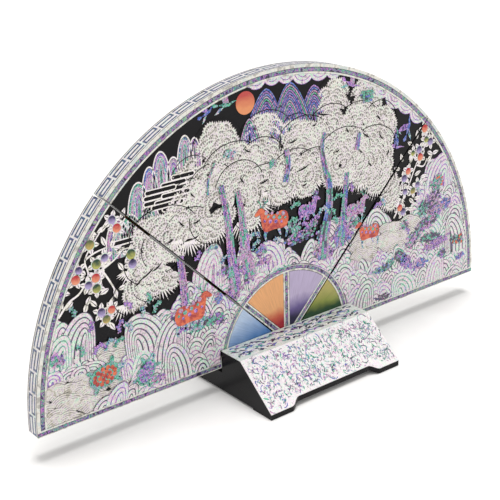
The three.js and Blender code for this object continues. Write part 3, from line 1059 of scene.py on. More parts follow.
@dataclass
class PineWoods:
    """The pines: fringed masses of needles over shell trunks."""

    back: tuple[Cluster, ...] = (
        Cluster(-41, 118, 10, 8, 0.05, (-40, 106)), Cluster(-12, 117, 12, 8, 0.05, (-14, 106)),
        Cluster(34, 127, 8, 8, 0.05, (30, 114)), Cluster(57, 124, 8, 9, 0.05, (55, 110)),
        Cluster(-57, 103, 8, 8, 0.05, (-50, 96)), Cluster(8, 117, 5, 3, 0.05, (8, 108)))
    middle: tuple[Cluster, ...] = (
        Cluster(13, 109, 13, 9, 0.15, (11, 98)), Cluster(31, 111, 12, 10, 0.15, (27, 100)),
        Cluster(51, 111, 11, 8, 0.15, (50, 101)), Cluster(67, 107, 9, 10, 0.15, (60, 98)),
        Cluster(-32, 105, 14, 8, 0.15, (-32, 95)), Cluster(-15, 104, 10, 8, 0.15, (-18, 95)),
        Cluster(-59, 92, 9, 8, 0.15, (-52, 86)), Cluster(-46, 96, 10, 9, 0.15, (-43, 86)))
    low: tuple[Cluster, ...] = (
        Cluster(-75, 83, 14, 7, 0.27, (-72, 74)), Cluster(-60, 79, 10, 7, 0.27, (-58, 71)),
        Cluster(-29, 94, 10, 9, 0.27, (-30, 86)), Cluster(-13, 92, 13, 6, 0.27, (-15, 83)),
        Cluster(6, 95, 11, 7, 0.27, (7, 86)), Cluster(20, 93, 11, 7, 0.27, (19, 85)),
        Cluster(41, 98, 14, 9, 0.27, (40, 88)), Cluster(62, 95, 13, 9, 0.27, (56, 86)))
    front: tuple[Cluster, ...] = (
        Cluster(-46, 83, 9, 8, 0.4, (-44, 89)), Cluster(-22, 83, 7, 8, 0.4, (-26, 91)),
        Cluster(-2, 88, 9, 4, 0.4, (0, 93)), Cluster(14, 88, 9, 4, 0.4, (14, 93)),
        Cluster(38, 89, 12, 6, 0.4, (38, 96)), Cluster(54, 86, 10, 7, 0.4, (50, 94)),
        Cluster(67, 82, 8, 9, 0.4, (60, 92)), Cluster(-84, 71, 9, 7, 0.4, (-70, 84)),
        Cluster(-75, 75, 8, 7, 0.4, (-66, 86)), Cluster(-92, 56, 8, 5.5, 0.4, (-70, 70)),
        Cluster(-79, 61, 11, 7, 0.4, (-64, 74)), Cluster(77, 69, 5, 8, 0.4, (72, 78)))
    trunks: tuple[tuple[tuple[Point, ...], float, float, str], ...] = (
        (((-41, 98), (-39, 88), (-37, 76), (-36, 60), (-33, 40)), 3.2, 6.5, "VPVG"),
        (((-31, 93), (-29, 82), (-28, 72), (-27, 60), (-24, 46)), 3.4, 8.0, "GVPP"),
        (((27, 112), (25, 104), (27, 94), (30, 84), (30, 70), (27, 56), (26, 42)), 2.2, 8.0, "GVBD"),
        (((43, 87), (42, 78), (41, 68), (40, 58), (38, 46)), 3.2, 6.0, "GVGB"),
        (((52, 107), (50, 98)), 2.6, 3.4, "BV"), (((-44, 110), (-48, 103), (-49, 95)), 1.2, 1.3, "GB"),
        (((1, 108), (2, 100), (0, 91)), 3.0, 3.4, "VPB"),
        (((-67, 68), (-66, 56), (-65, 42)), 4.0, 5.0, "VVP"))
    flecks: tuple[tuple[float, float, float, float], ...] = (
        (5, 111, 9, 8), (26, 121.5, 13, -12), (12, 95.5, 13, 14), (43, 110, 5, -65), (57, 104.5, 9, -35),
        (53, 96.5, 5, -48), (-28, 98, 6, -55), (-14, 94, 9, 12), (-65, 84, 6, -45), (-56, 83, 7, 18),
        (-44, 87, 6, 20), (-48, 105, 4, 10), (-8, 116, 6, -48), (44, 128, 9, 88), (-58, 97, 5, -50),
        (60, 88, 6, -45), (68, 102, 7, -55), (13, 86.5, 5, 10), (-72, 77, 6, 20), (-86, 64, 14, 28),
        (36, 100, 5, 15), (-35, 112, 6, 15), (-24, 112, 7, -30), (20, 117, 5, 20), (66, 113, 5, -50),
        (-3, 112, 12, 80), (74, 92, 5, 60), (-80, 66, 9, 30), (-73, 66, 6, -30), (-91, 61, 6, 35))
    tufts: tuple[tuple[float, float, float, float], ...] = (
        (-70, 73, 5, -100), (-61, 71, 5, -80), (-51, 72, 5, -95), (-44, 73, 6, -80), (-27, 73, 7, -85),
        (-21, 74, 8, -70), (-17, 79, 6, -55), (-11, 85, 5, -90), (-4, 83, 5, -95), (3, 83, 5, -85),
        (10, 84, 5, -95), (18, 84, 5, -80), (34, 83, 5, -100), (46, 80, 6, -85), (52, 79, 7, -75),
        (58, 77, 7, -65), (63, 74, 7, -60), (68, 71, 6, -70), (73, 73, 4, -60), (-100, 49, 4, -110),
        (-94, 50, 4, -95), (-86, 52, 4, -85), (-78, 53, 5, -70), (-94, 65, 4, -120), (-72, 56, 4, -60),
        (79, 60, 5, -80), (74, 62, 5, -95))

    def build(self, picture: Picture) -> None:
        """Lays the woods.

        Args:
            picture: What they are laid in.
        """
        for x, z, length, angle in self.tufts:
            self.tuft(picture, x, z, length, angle)
        for row in (self.back, self.middle, self.low, self.front):
            for mass in row:
                # each mass first gets a band of painted shadow round its far edge, in black lacquer
                self.painted_shadow(picture, mass)
                picture.cluster(PINE, mass)
        for x, z, length, angle in self.flecks:
            edges = [[(0.75 * length * (t / 6 - 0.5),
                       0.42 * math.sin(math.pi * t / 6) * side + 0.06 * (t - 3) ** 2)
                      for t in range(7)] for side in (1, -1)]
            picture.band(Kind.BLACK, turned(edges[0], x, z, 1, angle), turned(edges[1], x, z, 1, angle),
                         Tilt(0.72))
        for path, top, foot, kinds in self.trunks:
            self.trunk(picture, smooth(path, 4), top, foot, [SHORT[k] for k in kinds])

    @staticmethod
    def painted_shadow(picture: Picture, mass: Cluster) -> None:
        """Lays a painted shadow: the dark line that parts a mass from what is behind it.

        Args:
            picture: What it is laid in.
            mass: The mass.
        """
        root = mass.root or (mass.x, mass.z)
        away = math.degrees(math.atan2(mass.z - root[1], mass.x - root[0]))
        edges = []
        for reach in (PINE.reach + 0.28, PINE.reach - 0.12):
            edges.append([(mass.x + (mass.half_width + reach) * math.cos(math.radians(away + a)),
                           mass.z + (mass.half_height + reach) * math.sin(math.radians(away + a)))
                          for a in range(-84, 85, 7)])
        # painted shadow: black lacquer laid where the mass would shade what lies behind it
        picture.band(Kind.BLACK, edges[0], edges[1], Tilt(mass.level + 0.1))

    @staticmethod
    def tuft(picture: Picture, x: float, z: float, length: float, angle: float) -> None:
        """Lays a hanging tuft of needles.

        Args:
            picture: What it is laid in.
            x: Its root.
            z: Its root.
            length: Its longest needle.
            angle: The way it hangs, in degrees.
        """
        for i in range(11):
            lean = angle + (i - 5) * 10
            reach = (length + 4) * (1 - 0.05 * abs(i - 5)) * picture.chance.uniform(0.8, 1.1)
            needle = turned([(0, -0.5), (reach * 0.6, -0.34), (reach, 0), (reach * 0.6, 0.34), (0, 0.5)],
                            x + (i - 5) * 0.75, z + 3.5, 1, lean)
            picture.lay(Kind.WHITE, needle, Tilt(0.42 + 0.012 * (i % 3)))

    @staticmethod
    def trunk(picture: Picture, path: list[Point], top: float, foot: float, kinds: list[Kind]) -> None:
        """Lays a trunk as several strands of shell, each broken into short lengths.

        Args:
            picture: What it is laid in.
            path: Its middle line, from the top down.
            top: Its width at the top.
            foot: Its width at the foot.
            kinds: Its shells.
        """
        strands = 2 if foot < 2 else 4
        for strand in range(strands):
            share = (strand + 0.5) / strands - 0.5
            line = []
            for i, (x, z) in enumerate(path):
                before, after = path[max(i - 1, 0)], path[min(i + 1, len(path) - 1)]
                dx, dz = after[0] - before[0], after[1] - before[1]
                length = math.hypot(dx, dz) or 1.0
                width = top + (foot - top) * (i / (len(path) - 1)) ** 1.5
                line.append((x - dz / length * width * share, z + dx / length * width * share,
                             width / strands))
            start = 0
            while start < len(line) - 1:
                end = min(start + picture.chance.randint(1, 2), len(line) - 1)
                kind = picture.chance.choice([*kinds, Kind.GREEN, Kind.PINK])
                picture.line(kind, [p[:2] for p in line[start:end + 1]], line[start][2] - 0.12, Tilt(0.8))
                start = end


def smooth(path: Sequence[Point], steps: int) -> list[Point]:
    """Runs a smooth curve through the points of a path.

    Args:
        path: The points it passes.
        steps: Straight pieces between each two of them.

    Returns:
        The curve's points.
    """
    ends = [path[0], *path, path[-1]]
    made: list[Point] = []
    for a, b, c, d in zip(ends, ends[1:], ends[2:], ends[3:]):
        for i in range(steps):
            t = i / steps
            made.append(tuple(
                0.5 * (2 * b[k] + (c[k] - a[k]) * t + (2 * a[k] - 5 * b[k] + 4 * c[k] - d[k]) * t * t
                       + (3 * b[k] - a[k] - 3 * c[k] + d[k]) * t ** 3) for k in (0, 1)))
    return [*made, path[-1]]


@dataclass
class Mountains:
    """Rounded near peaks in nested arches, and far ridges drawn in parallel lines."""

    peaks: tuple[tuple[float, float, float, float, str], ...] = (
        (-55, 107, 4.0, 18, "VPAG"), (-60.5, 105, 5.2, 22, "APGV"), (-67.5, 102, 4.6, 16, "PVGA"),
        (-74.5, 100, 5.6, 22, "VAPG"), (-81, 95, 5.0, 21, "BVPG"), (-100, 76, 7.0, 19, "PVGA"),
        (-87.5, 82, 7.2, 28, "GPAVG"), (-93, 78, 6.5, 18, "GAGP"), (-82, 84, 5.5, 15, "PGA"))
    ridges: tuple[tuple[float, float, float, float, float], ...] = (
        (-12, 120, 13.0, 21, 1.0), (21, 119, 12.0, 19, -1.0), (5, 112, 16.0, 30, -1.0),
        (-22, 114, 7.0, 14, 0.0))

    def build(self, picture: Picture) -> None:
        """Lays the mountains.

        Args:
            picture: What they are laid in.
        """
        for x, z, half, height, kinds in self.peaks:
            peak = Arch(x, z, half, height)
            picture.lay(Kind.DARK, peak.path(-0.1), Tilt(0.04))
            picture.band(Kind.WHITE, peak.path(0), peak.path(0.6), Tilt(0.1))
            inset, i = 0.85, 0
            while inset < half - 0.5:
                picture.band(SHORT[kinds[i % len(kinds)]], peak.path(inset), peak.path(inset + 0.95),
                             Tilt(0.09))
                picture.band(Kind.ROCK, peak.path(inset + 0.98), peak.path(inset + 1.2), Tilt(0.1))
                inset, i = inset + 1.35, i + 1
        tones = (Kind.BLUE, Kind.VIOLET, Kind.BLUE, Kind.PINK, Kind.GREEN, Kind.VIOLET)
        for n, (x, z, half, height, lean) in enumerate(self.ridges):
            ridge = Arch(x, z, half, height, lean, point=1.7)
            picture.lay(Kind.BLACK, ridge.path(-0.4), Tilt(0.04 + 0.04 * n))
            for i in range(int(half / 1.05)):
                picture.band(tones[(i + n) % 6], ridge.path(i * 1.05), ridge.path(i * 1.05 + 0.7),
                             Tilt(0.06 + 0.04 * n))


@dataclass
class Sky:
    """Clouds along the border, cloud bands between the peaks, and cranes."""

    puffs: tuple[tuple[float, float, float, float], ...] = (
        (-17, 148, -75, 6.5), (-7, 148, -95, 6), (2, 148, -80, 6.5), (13, 147.5, -100, 8),
        (24, 147, -95, 7.5),
        (34, 145, -115, 6.0), (60, 135, -120, 5), (70, 130, -115, 7), (80, 124, -125, 8.5),
        (89, 119, -120, 8),
        (98, 111, -140, 7))
    bars: tuple[tuple[float, float, float], ...] = (
        (-68, -57, 107.8), (-74, -62, 105.2), (-83, -68, 103.4), (-76, -57, 102.6), (-84, -72, 100.8),
        (-74, -60, 100.0), (-84, -66, 98.2), (-78, -62, 97.4), (-80, -64, 95.6), (-74, -61, 93.6),
        (-72, -60, 91.4), (-103, -84, 83.5), (-98, -80, 81.0), (-94, -78, 78.2), (-84, -76, 86.5))
    cranes: tuple[tuple[float, float, float, float, str], ...] = (
        (-47, 135, 1.0, 20, "BV"), (-36, 137, 1.35, -8, "GP"), (46, 134, 1.3, -35, "VP"),
        (90, 103, 1.35, 65, "BV"), (80, 94, 1.3, -30, "VB"), (81, 103, 0.8, 100, "GP"))

    def build(self, picture: Picture) -> None:
        """Lays the sky's motifs.

        Args:
            picture: What they are laid in.
        """
        for x, z, heading, reach in self.puffs:
            picture.scale(CLOUD, x, z, heading, 0.06, reach=reach)
        for i, (x0, x1, z) in enumerate(self.bars):
            self.bar(picture, x0, x1, z, 0.2 + 0.03 * (i % 3))
        for x, z, size, angle, kinds in self.cranes:
            self.crane(picture, x, z, size, angle, [SHORT[k] for k in kinds])

    @staticmethod
    def bar(picture: Picture, x0: float, x1: float, z: float, lift: float) -> None:
        """Lays a long black cloud bar with a thin white edge.

        Args:
            picture: What it is laid in.
            x0: Its left end.
            x1: Its right end.
            z: Its middle.
            lift: Its height.
        """
        half, thick = 1.5, 0.6
        outer = arc(x1, z, half, -90, 90, 8) + arc(x0, z, half, 90, 270, 8)
        inner = arc(x1, z, half - thick, -90, 90, 8) + arc(x0, z, half - thick, 90, 270, 8)
        picture.lay(Kind.BLACK, inner, Tilt(lift - 0.02))
        picture.band(Kind.WHITE, outer, inner, Tilt(lift), closed=True)

    @staticmethod
    def crane(picture: Picture, x: float, z: float, size: float, angle: float, kinds: list[Kind]) -> None:
        """Lays a flying crane: body and neck, two wings and a tail.

        Args:
            picture: What it is laid in.
            x: Its middle.
            z: Its middle.
            size: Its scale.
            angle: Its turn in degrees.
            kinds: Its shells.
        """
        body = [(-3.2, -0.2), (-1, 0.7), (1.4, 0.6), (3, 1.4), (5.4, 1.7), (3.2, 0.8), (1.6, -0.5),
                (-1, -0.9)]
        upper = [(-1.2, 0.8), (-2.6, 3.2), (-3.6, 5.6), (-1.4, 4.6), (0.4, 3.2), (1.4, 0.7)]
        lower = [(-0.8, -0.9), (-2.8, -3.0), (-4.6, -3.6), (-2.6, -1.2)]
        tail = [(-3.4, 0.0), (-5.4, 0.9), (-6.2, -0.1), (-5.2, -1.0), (-3.4, -0.5)]
        for part, shell in ((body, kinds[0]), (upper, kinds[1]), (lower, Kind.ABALONE), (tail, kinds[0])):
            picture.lay(shell, turned(part, x, z, size, angle), Tilt(0.24))


def bank_level(row: float) -> float:
    """How high a row of swells stands: each one a little over the row behind it."""
    return 0.04 + 0.036 * (16 - row)


@dataclass(frozen=True)
class Bank:
    """Ground that swells fill row behind row, up to a skyline given by its corners from left to right."""

    skyline: tuple[Point, ...]
    foot: float = 0.0
    step_x: float = 7.6
    step_z: float = 5.4

    def top(self, x: float) -> float:
        """The skyline's height at a place.

        Args:
            x: The place.

        Returns:
            The height, or 0 beyond either end.
        """
        for (x0, z0), (x1, z1) in zip(self.skyline, self.skyline[1:]):
            if x0 <= x <= x1:
                return z0 + (z1 - z0) * (x - x0) / (x1 - x0)
        return 0.0

    def arches(self, chance: random.Random) -> list[tuple[Arch, float]]:
        """Draws the bank's swells.

        Args:
            chance: Where their small differences come from.

        Returns:
            Each swell with its height over the ground, the furthest first.
        """
        made = []
        lines = (Kind.DARK, Kind.VIOLET, Kind.DARK, Kind.GREEN, Kind.DARK, Kind.PINK)
        rows = int(max(z for _, z in self.skyline) / self.step_z) + 1
        for row in range(rows, 0, -1):
            x, place = self.skyline[0][0] + self.step_x * (0.5 if row % 2 else 0.1), 0
            while x < self.skyline[-1][0]:
                crest = min(row * self.step_z + chance.uniform(1, 5), self.top(x) + 0.5)
                if crest >= max(row * self.step_z - 2.5, self.foot):
                    height = chance.uniform(12, 18)
                    foot = max(crest - height, self.foot - 3)
                    made.append((Arch(x, foot, chance.uniform(5.0, 7.2), crest - foot,
                                      chance.uniform(-4.5, 4.5),
                                      chance.choice(lines), chance.uniform(1.75, 2.15),
                                      chance.uniform(0.45, 0.65)),
                                 bank_level(row) + 0.018 * (place % 2)))
                x += self.step_x * chance.uniform(0.8, 1.15)
                place += 1
        return made


@dataclass
class Rocks:
    """Rocks and swells in nested arches over the lower part, with mosaics of coloured chips among them."""

    ripples: tuple[Cluster, ...] = (
        Cluster(-121, 14, 30, 16, 0.03, (-128, -80), True), Cluster(74, 37, 24, 7, 0.62, (74, -60), True))
    banks: tuple[Bank, ...] = (
        Bank(((-152, 34), (-140, 50), (-134, 56), (-128, 54), (-122, 46), (-118, 30)), 28),
        Bank(((-99, 24), (-96, 38), (-88, 46), (-80, 42), (-72, 41), (-64, 50), (-58, 56), (-52, 62),
              (-46, 67),
              (-41, 60), (-36, 52), (-30, 60), (-22, 58), (-14, 60), (-8, 61), (0, 52), (8, 53), (14, 55),
              (22, 54), (30, 62), (38, 62), (46, 63), (52, 52), (60, 58), (68, 61), (76, 54), (84, 42),
              (92, 42), (98, 52), (104, 66), (110, 80), (118, 83), (126, 76), (134, 58), (142, 36),
              (148, 20))))
    mounds: tuple[Arch, ...] = (
        Arch(-127, 31, 10, 24, 5, Kind.DARK), Arch(-137, 31, 7, 16, 4, Kind.GREEN),
        Arch(-88, 24, 12, 21.5, -5, Kind.DARK), Arch(-76, 15, 10, 24, 4, Kind.DARK),
        Arch(-71, 2, 8, 22, -3, Kind.DARK), Arch(-50, 46, 9, 23, 3, Kind.PINK),
        Arch(-101, 2, 5, 8, 3, Kind.DARK), Arch(-108, 2, 6, 11, 4, Kind.VIOLET),
        Arch(-116, 2, 5, 7, 3, Kind.DARK), Arch(-9, 46, 8.5, 16, -4, Kind.VIOLET),
        Arch(68, 43, 9.5, 18.5, -3, Kind.DARK), Arch(117, 62, 11, 21, 4, Kind.VIOLET),
        Arch(134, 18, 9, 25, -5, Kind.DARK), Arch(56, 2, 8, 18, 3, Kind.DARK),
        Arch(90, 2, 10, 15, -4, Kind.GREEN), Arch(115, 2, 8, 19, 3, Kind.PINK))
    mosaics: tuple[tuple[float, float, float, float, float, str], ...] = (
        (-29, 50, 10, 9, 60, "PPVPWD"), (-35, 40, 5, 5, 40, "VDPV"), (-36, 52, 4, 9, 80, "DGV"),
        (-28, 62, 9, 4, 70, "VPW"), (9, 59, 11, 3.6, 5, "GDPVB"), (5, 65, 4, 5, 60, "GDA"),
        (17, 62, 7, 4, 30, "PGD"), (26, 46, 5, 8, 80, "PPVD"), (26, 57, 6, 5, 80, "DDVA"),
        (40, 52, 5, 9, 85, "VVBP"), (-17, 58, 4, 4, 30, "BGVP"), (-57, 29, 8, 3.5, 10, "GDPG"),
        (-47, 29, 6, 3.5, -10, "GVD"), (-69, 36, 6, 4, -30, "PVD"), (-45, 40, 3, 4, 0, "BP"),
        (-137, 36, 4, 4, 60, "GVP"), (-84, 8, 5, 3, 20, "GVP"), (115, 66, 6, 5, 10, "GPRG"),
        (111, 56, 8, 5, 20, "DVPD"), (118, 50, 11, 4, 10, "PVBP"), (108, 43, 11, 4.5, 15, "GPDV"),
        (96, 36, 7, 5, 30, "VDPG"), (110, 33, 10, 3, 0, "DDG"), (116, 28, 12, 3.4, 8, "VVPP"),
        (86, 27, 7, 4, -35, "BVDG"), (91, 22, 6, 4, -35, "VBV"), (76, 25, 5, 3, 20, "DGB"),
        (69, 23.5, 5, 2.2, 0, "GBG"), (102, 18, 7, 3, 5, "PVB"), (72, 6, 5.5, 2.6, 0, "DDD"),
        (134, 26, 3.5, 7, 80, "GDRG"), (138, 14, 5, 2, 0, "VB"), (121, 20, 5, 3, 0, "GVD"),
        (58, 50, 4, 2, 20, "GPG"), (48, 57, 4, 3, 10, "PGD"), (104, 52, 5, 5, 40, "GDG"),
        (88, 46, 4, 3, 0, "DPG"), (-15, 52, 7, 2.5, 0, "WPV"), (57, 126, 5, 3.6, 0, "GGB"),
        (-35, 113, 3, 3.4, 60, "GAP"), (-8, 103, 3, 2.4, 30, "GP"))

    def build(self, picture: Picture) -> None:
        """Lays the rocks, swells and mosaics.

        Args:
            picture: What they are laid in.
        """
        picture.cluster(RIPPLE, self.ripples[0])
        for bank in self.banks:
            for arch, level in bank.arches(picture.chance):
                picture.arches(arch, level)
        picture.cluster(RIPPLE, self.ripples[1])
        for i, mound in enumerate(self.mounds):
            row = round(mound.z / self.banks[0].step_z) - i % 2
            picture.arches(mound, bank_level(row) + 0.023)
        for x, z, half_width, half_height, angle, kinds in self.mosaics:
            picture.mosaic(x, z, half_width, half_height, angle, [SHORT[k] for k in kinds])


@dataclass
class Blossom:
    """Fruiting branches: pointed petals and leaves round domed fruit of dyed shell."""

    fruit: tuple[tuple[float, float, float, str], ...] = (
        (-102.7, 95.5, 2.0, "purple"), (-100.5, 91, 2.2, "red"), (-115, 86.5, 2.3, "olive"),
        (-108, 78.5, 1.9, "purple"), (-112.5, 76.5, 2.4, "green"), (-94, 76.5, 2.5, "green"),
        (-93.5, 71.6, 2.3, "purple"), (-123.7, 71.8, 2.3, "red"), (-121.8, 75.9, 1.8, "purple"),
        (-113.4, 70, 2.2, "red"), (-117.4, 67.5, 1.9, "purple"), (-113.4, 64.8, 2.2, "green"),
        (-112, 52.4, 2.1, "purple"), (-106.5, 52.2, 2.0, "red"), (-109.6, 48.2, 2.1, "olive"),
        (103, 100, 2.3, "red"), (108, 91.5, 2.1, "purple"), (104.5, 93.5, 1.8, "green"),
        (99, 88.5, 2.1, "purple"), (94, 87.5, 1.6, "green"), (100, 84, 2.2, "red"),
        (90.5, 77.6, 2.0, "red"),
        (87.5, 74, 2.1, "purple"), (94.8, 65.2, 2.0, "olive"), (98.5, 68, 1.9, "purple"),
        (84.5, 57.2, 2.0, "red"), (87.2, 54.4, 2.1, "purple"), (88.5, 66, 1.8, "purple"))
    branches: tuple[tuple[Point, ...], ...] = (
        ((-134, 56), (-128, 62), (-122, 65), (-117, 72), (-118, 80), (-112, 88), (-104, 97)),
        ((-117, 72), (-110, 73), (-103, 76), (-98, 80)), ((-110, 73), (-106, 66), (-104, 60), (-108, 54)),
        ((-118, 80), (-113, 82), (-107, 83)),
        ((80, 52), (86, 60), (92, 70), (97, 80), (104, 90), (108, 98)),
        ((92, 70), (88, 75), (90, 81)), ((97, 80), (103, 78), (106, 82)))
    leaves: tuple[tuple[float, float, float], ...] = (
        (-104, 82, 70), (-107, 84, 110), (-102, 79, 20), (-105, 76, 200), (-101, 74, -60), (-98, 80, 160),
        (-104, 62, -80), (-107, 63, 200), (-102, 61, 10), (-105, 58, -120), (-100, 69, -30), (-98, 71, 20),
        (-119, 59, -110), (-108, 99, 140), (-106, 93, 200), (-98, 95, 60), (-111, 90, 150), (-119, 84, 130),
        (-127, 66, 160), (-126, 62, 220), (94, 92, 150), (97, 95, 90), (110, 96, 40), (113, 90, 0),
        (106, 86, -30), (84, 80, 160), (86, 84, 110), (92, 82, 70), (82, 72, 190), (96, 74, 20),
        (101, 72, 0), (110, 84, 10), (97, 86, 150), (90, 70, 200), (96, 60, 0), (88, 50, -30),
        (108, 103, 60),
        (-110, 66, 200), (-121, 80, 150), (-109, 74, 250), (-117, 62, 240), (-98, 66, -40), (-131, 60, 130),
        (-108, 46, 300), (-114, 56, 130), (92, 61, -40), (80, 60, 170), (91, 55, -10), (85, 50, -90),
        (106, 80, 40))

    def build(self, picture: Picture) -> None:
        """Lays branches, leaves and petals, and sets the domed fruit on them.

        Args:
            picture: What they are laid in.
        """
        for path in self.branches:
            picture.line(Kind.WHITE, smooth(path, 5), 1.1, Tilt(0.3), 0.5)
        for x, z, angle in self.leaves:
            self.petal(picture, x, z, 5.3, 2.5, angle, 0.4)
        for i, (x, z, radius, _) in enumerate(self.fruit):
            for k in range(5):
                angle = 72 * k + 31 * i
                c, s = math.cos(math.radians(angle)), math.sin(math.radians(angle))
                self.petal(picture, x + c * radius * 0.7, z + s * radius * 0.7, 3.3, 2.5, angle,
                           0.42 + 0.006 * (k % 2))
            picture.lay(Kind.ROCK, arc(x, z, radius + 0.45, 0, 342, 19), Tilt(0.5))
        self.domes()

    @staticmethod
    def petal(picture: Picture, x: float, z: float, length: float, width: float, angle: float,
              lift: float) -> None:
        """Lays one pointed petal with a cut down its middle.

        Args:
            picture: What it is laid in.
            x: Its root.
            z: Its root.
            length: Its length.
            width: Its width.
            angle: The way it points, in degrees.
            lift: Its height.
        """
        half, slit = width / 2, 0.2
        side = [(0, slit), (length * 0.25, half * 0.8), (length * 0.5, half), (length * 0.75, half * 0.62),
                (length, slit * 0.5)]
        other = [(px, -pz) for px, pz in side]
        for part in (side, other):
            picture.lay(Kind.WHITE, turned(part, x, z, 1, angle), Tilt(lift))

    def domes(self) -> None:
        """Models one low dome for each dye's fruit and sets a copy at each place."""
        for dye, finish in DYES.items():
            material = finish.make()
            for leaf in Leaf:
                parts = [self.dome(x, z, radius) for x, z, radius, own in self.fruit
                         if own == dye and keep([(x, z)] * 3, *leaf.limits[0])
                         and keep([(x, z)] * 3, *leaf.limits[1])]
                if not parts:
                    continue
                only(parts[0])
                for part in parts[1:]:
                    part.select_set(True)
                if len(parts) > 1:
                    bpy.ops.object.join()
                whole = parts[0]
                whole.name = f"{leaf.value}_{dye}_fruit"
                only(whole)
                bpy.ops.object.transform_apply(location=True, rotation=True, scale=True)
                bpy.ops.object.shade_smooth_by_angle(angle=math.radians(50))
                whole.data.materials.clear()
                whole.data.materials.append(material)
                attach(whole, leaf.value)
                LOG.info("%s: %d fruit", whole.name, len(parts))

    @staticmethod
    def dome(x: float, z: float, radius: float) -> Object:
        """Models a low round dome, cut flat behind.

        Args:
            x: Its middle.
            z: Its middle.
            radius: Its radius.

        Returns:
            The dome, in place.
        """
        bpy.ops.object.select_all(action="DESELECT")
        bpy.ops.mesh.primitive_uv_sphere_add(
            segments=20, ring_count=12, radius=radius * MM,
            location=(x * MM, GROUND_Y - 0.5 * MM, (z + HUB_HEIGHT) * MM))
        made = bpy.context.object
        made.scale = (1, 0.3, 1)
        bpy.ops.object.transform_apply(location=True, rotation=True, scale=True)
        bpy.ops.object.mode_set(mode="EDIT")
        bpy.ops.mesh.select_all(action="SELECT")
        bpy.ops.mesh.bisect(plane_co=(0, GROUND_Y - 0.5 * MM, 0), plane_no=(0, -1, 0), clear_inner=True,
                            use_fill=True)
        bpy.ops.object.mode_set(mode="OBJECT")
        return made


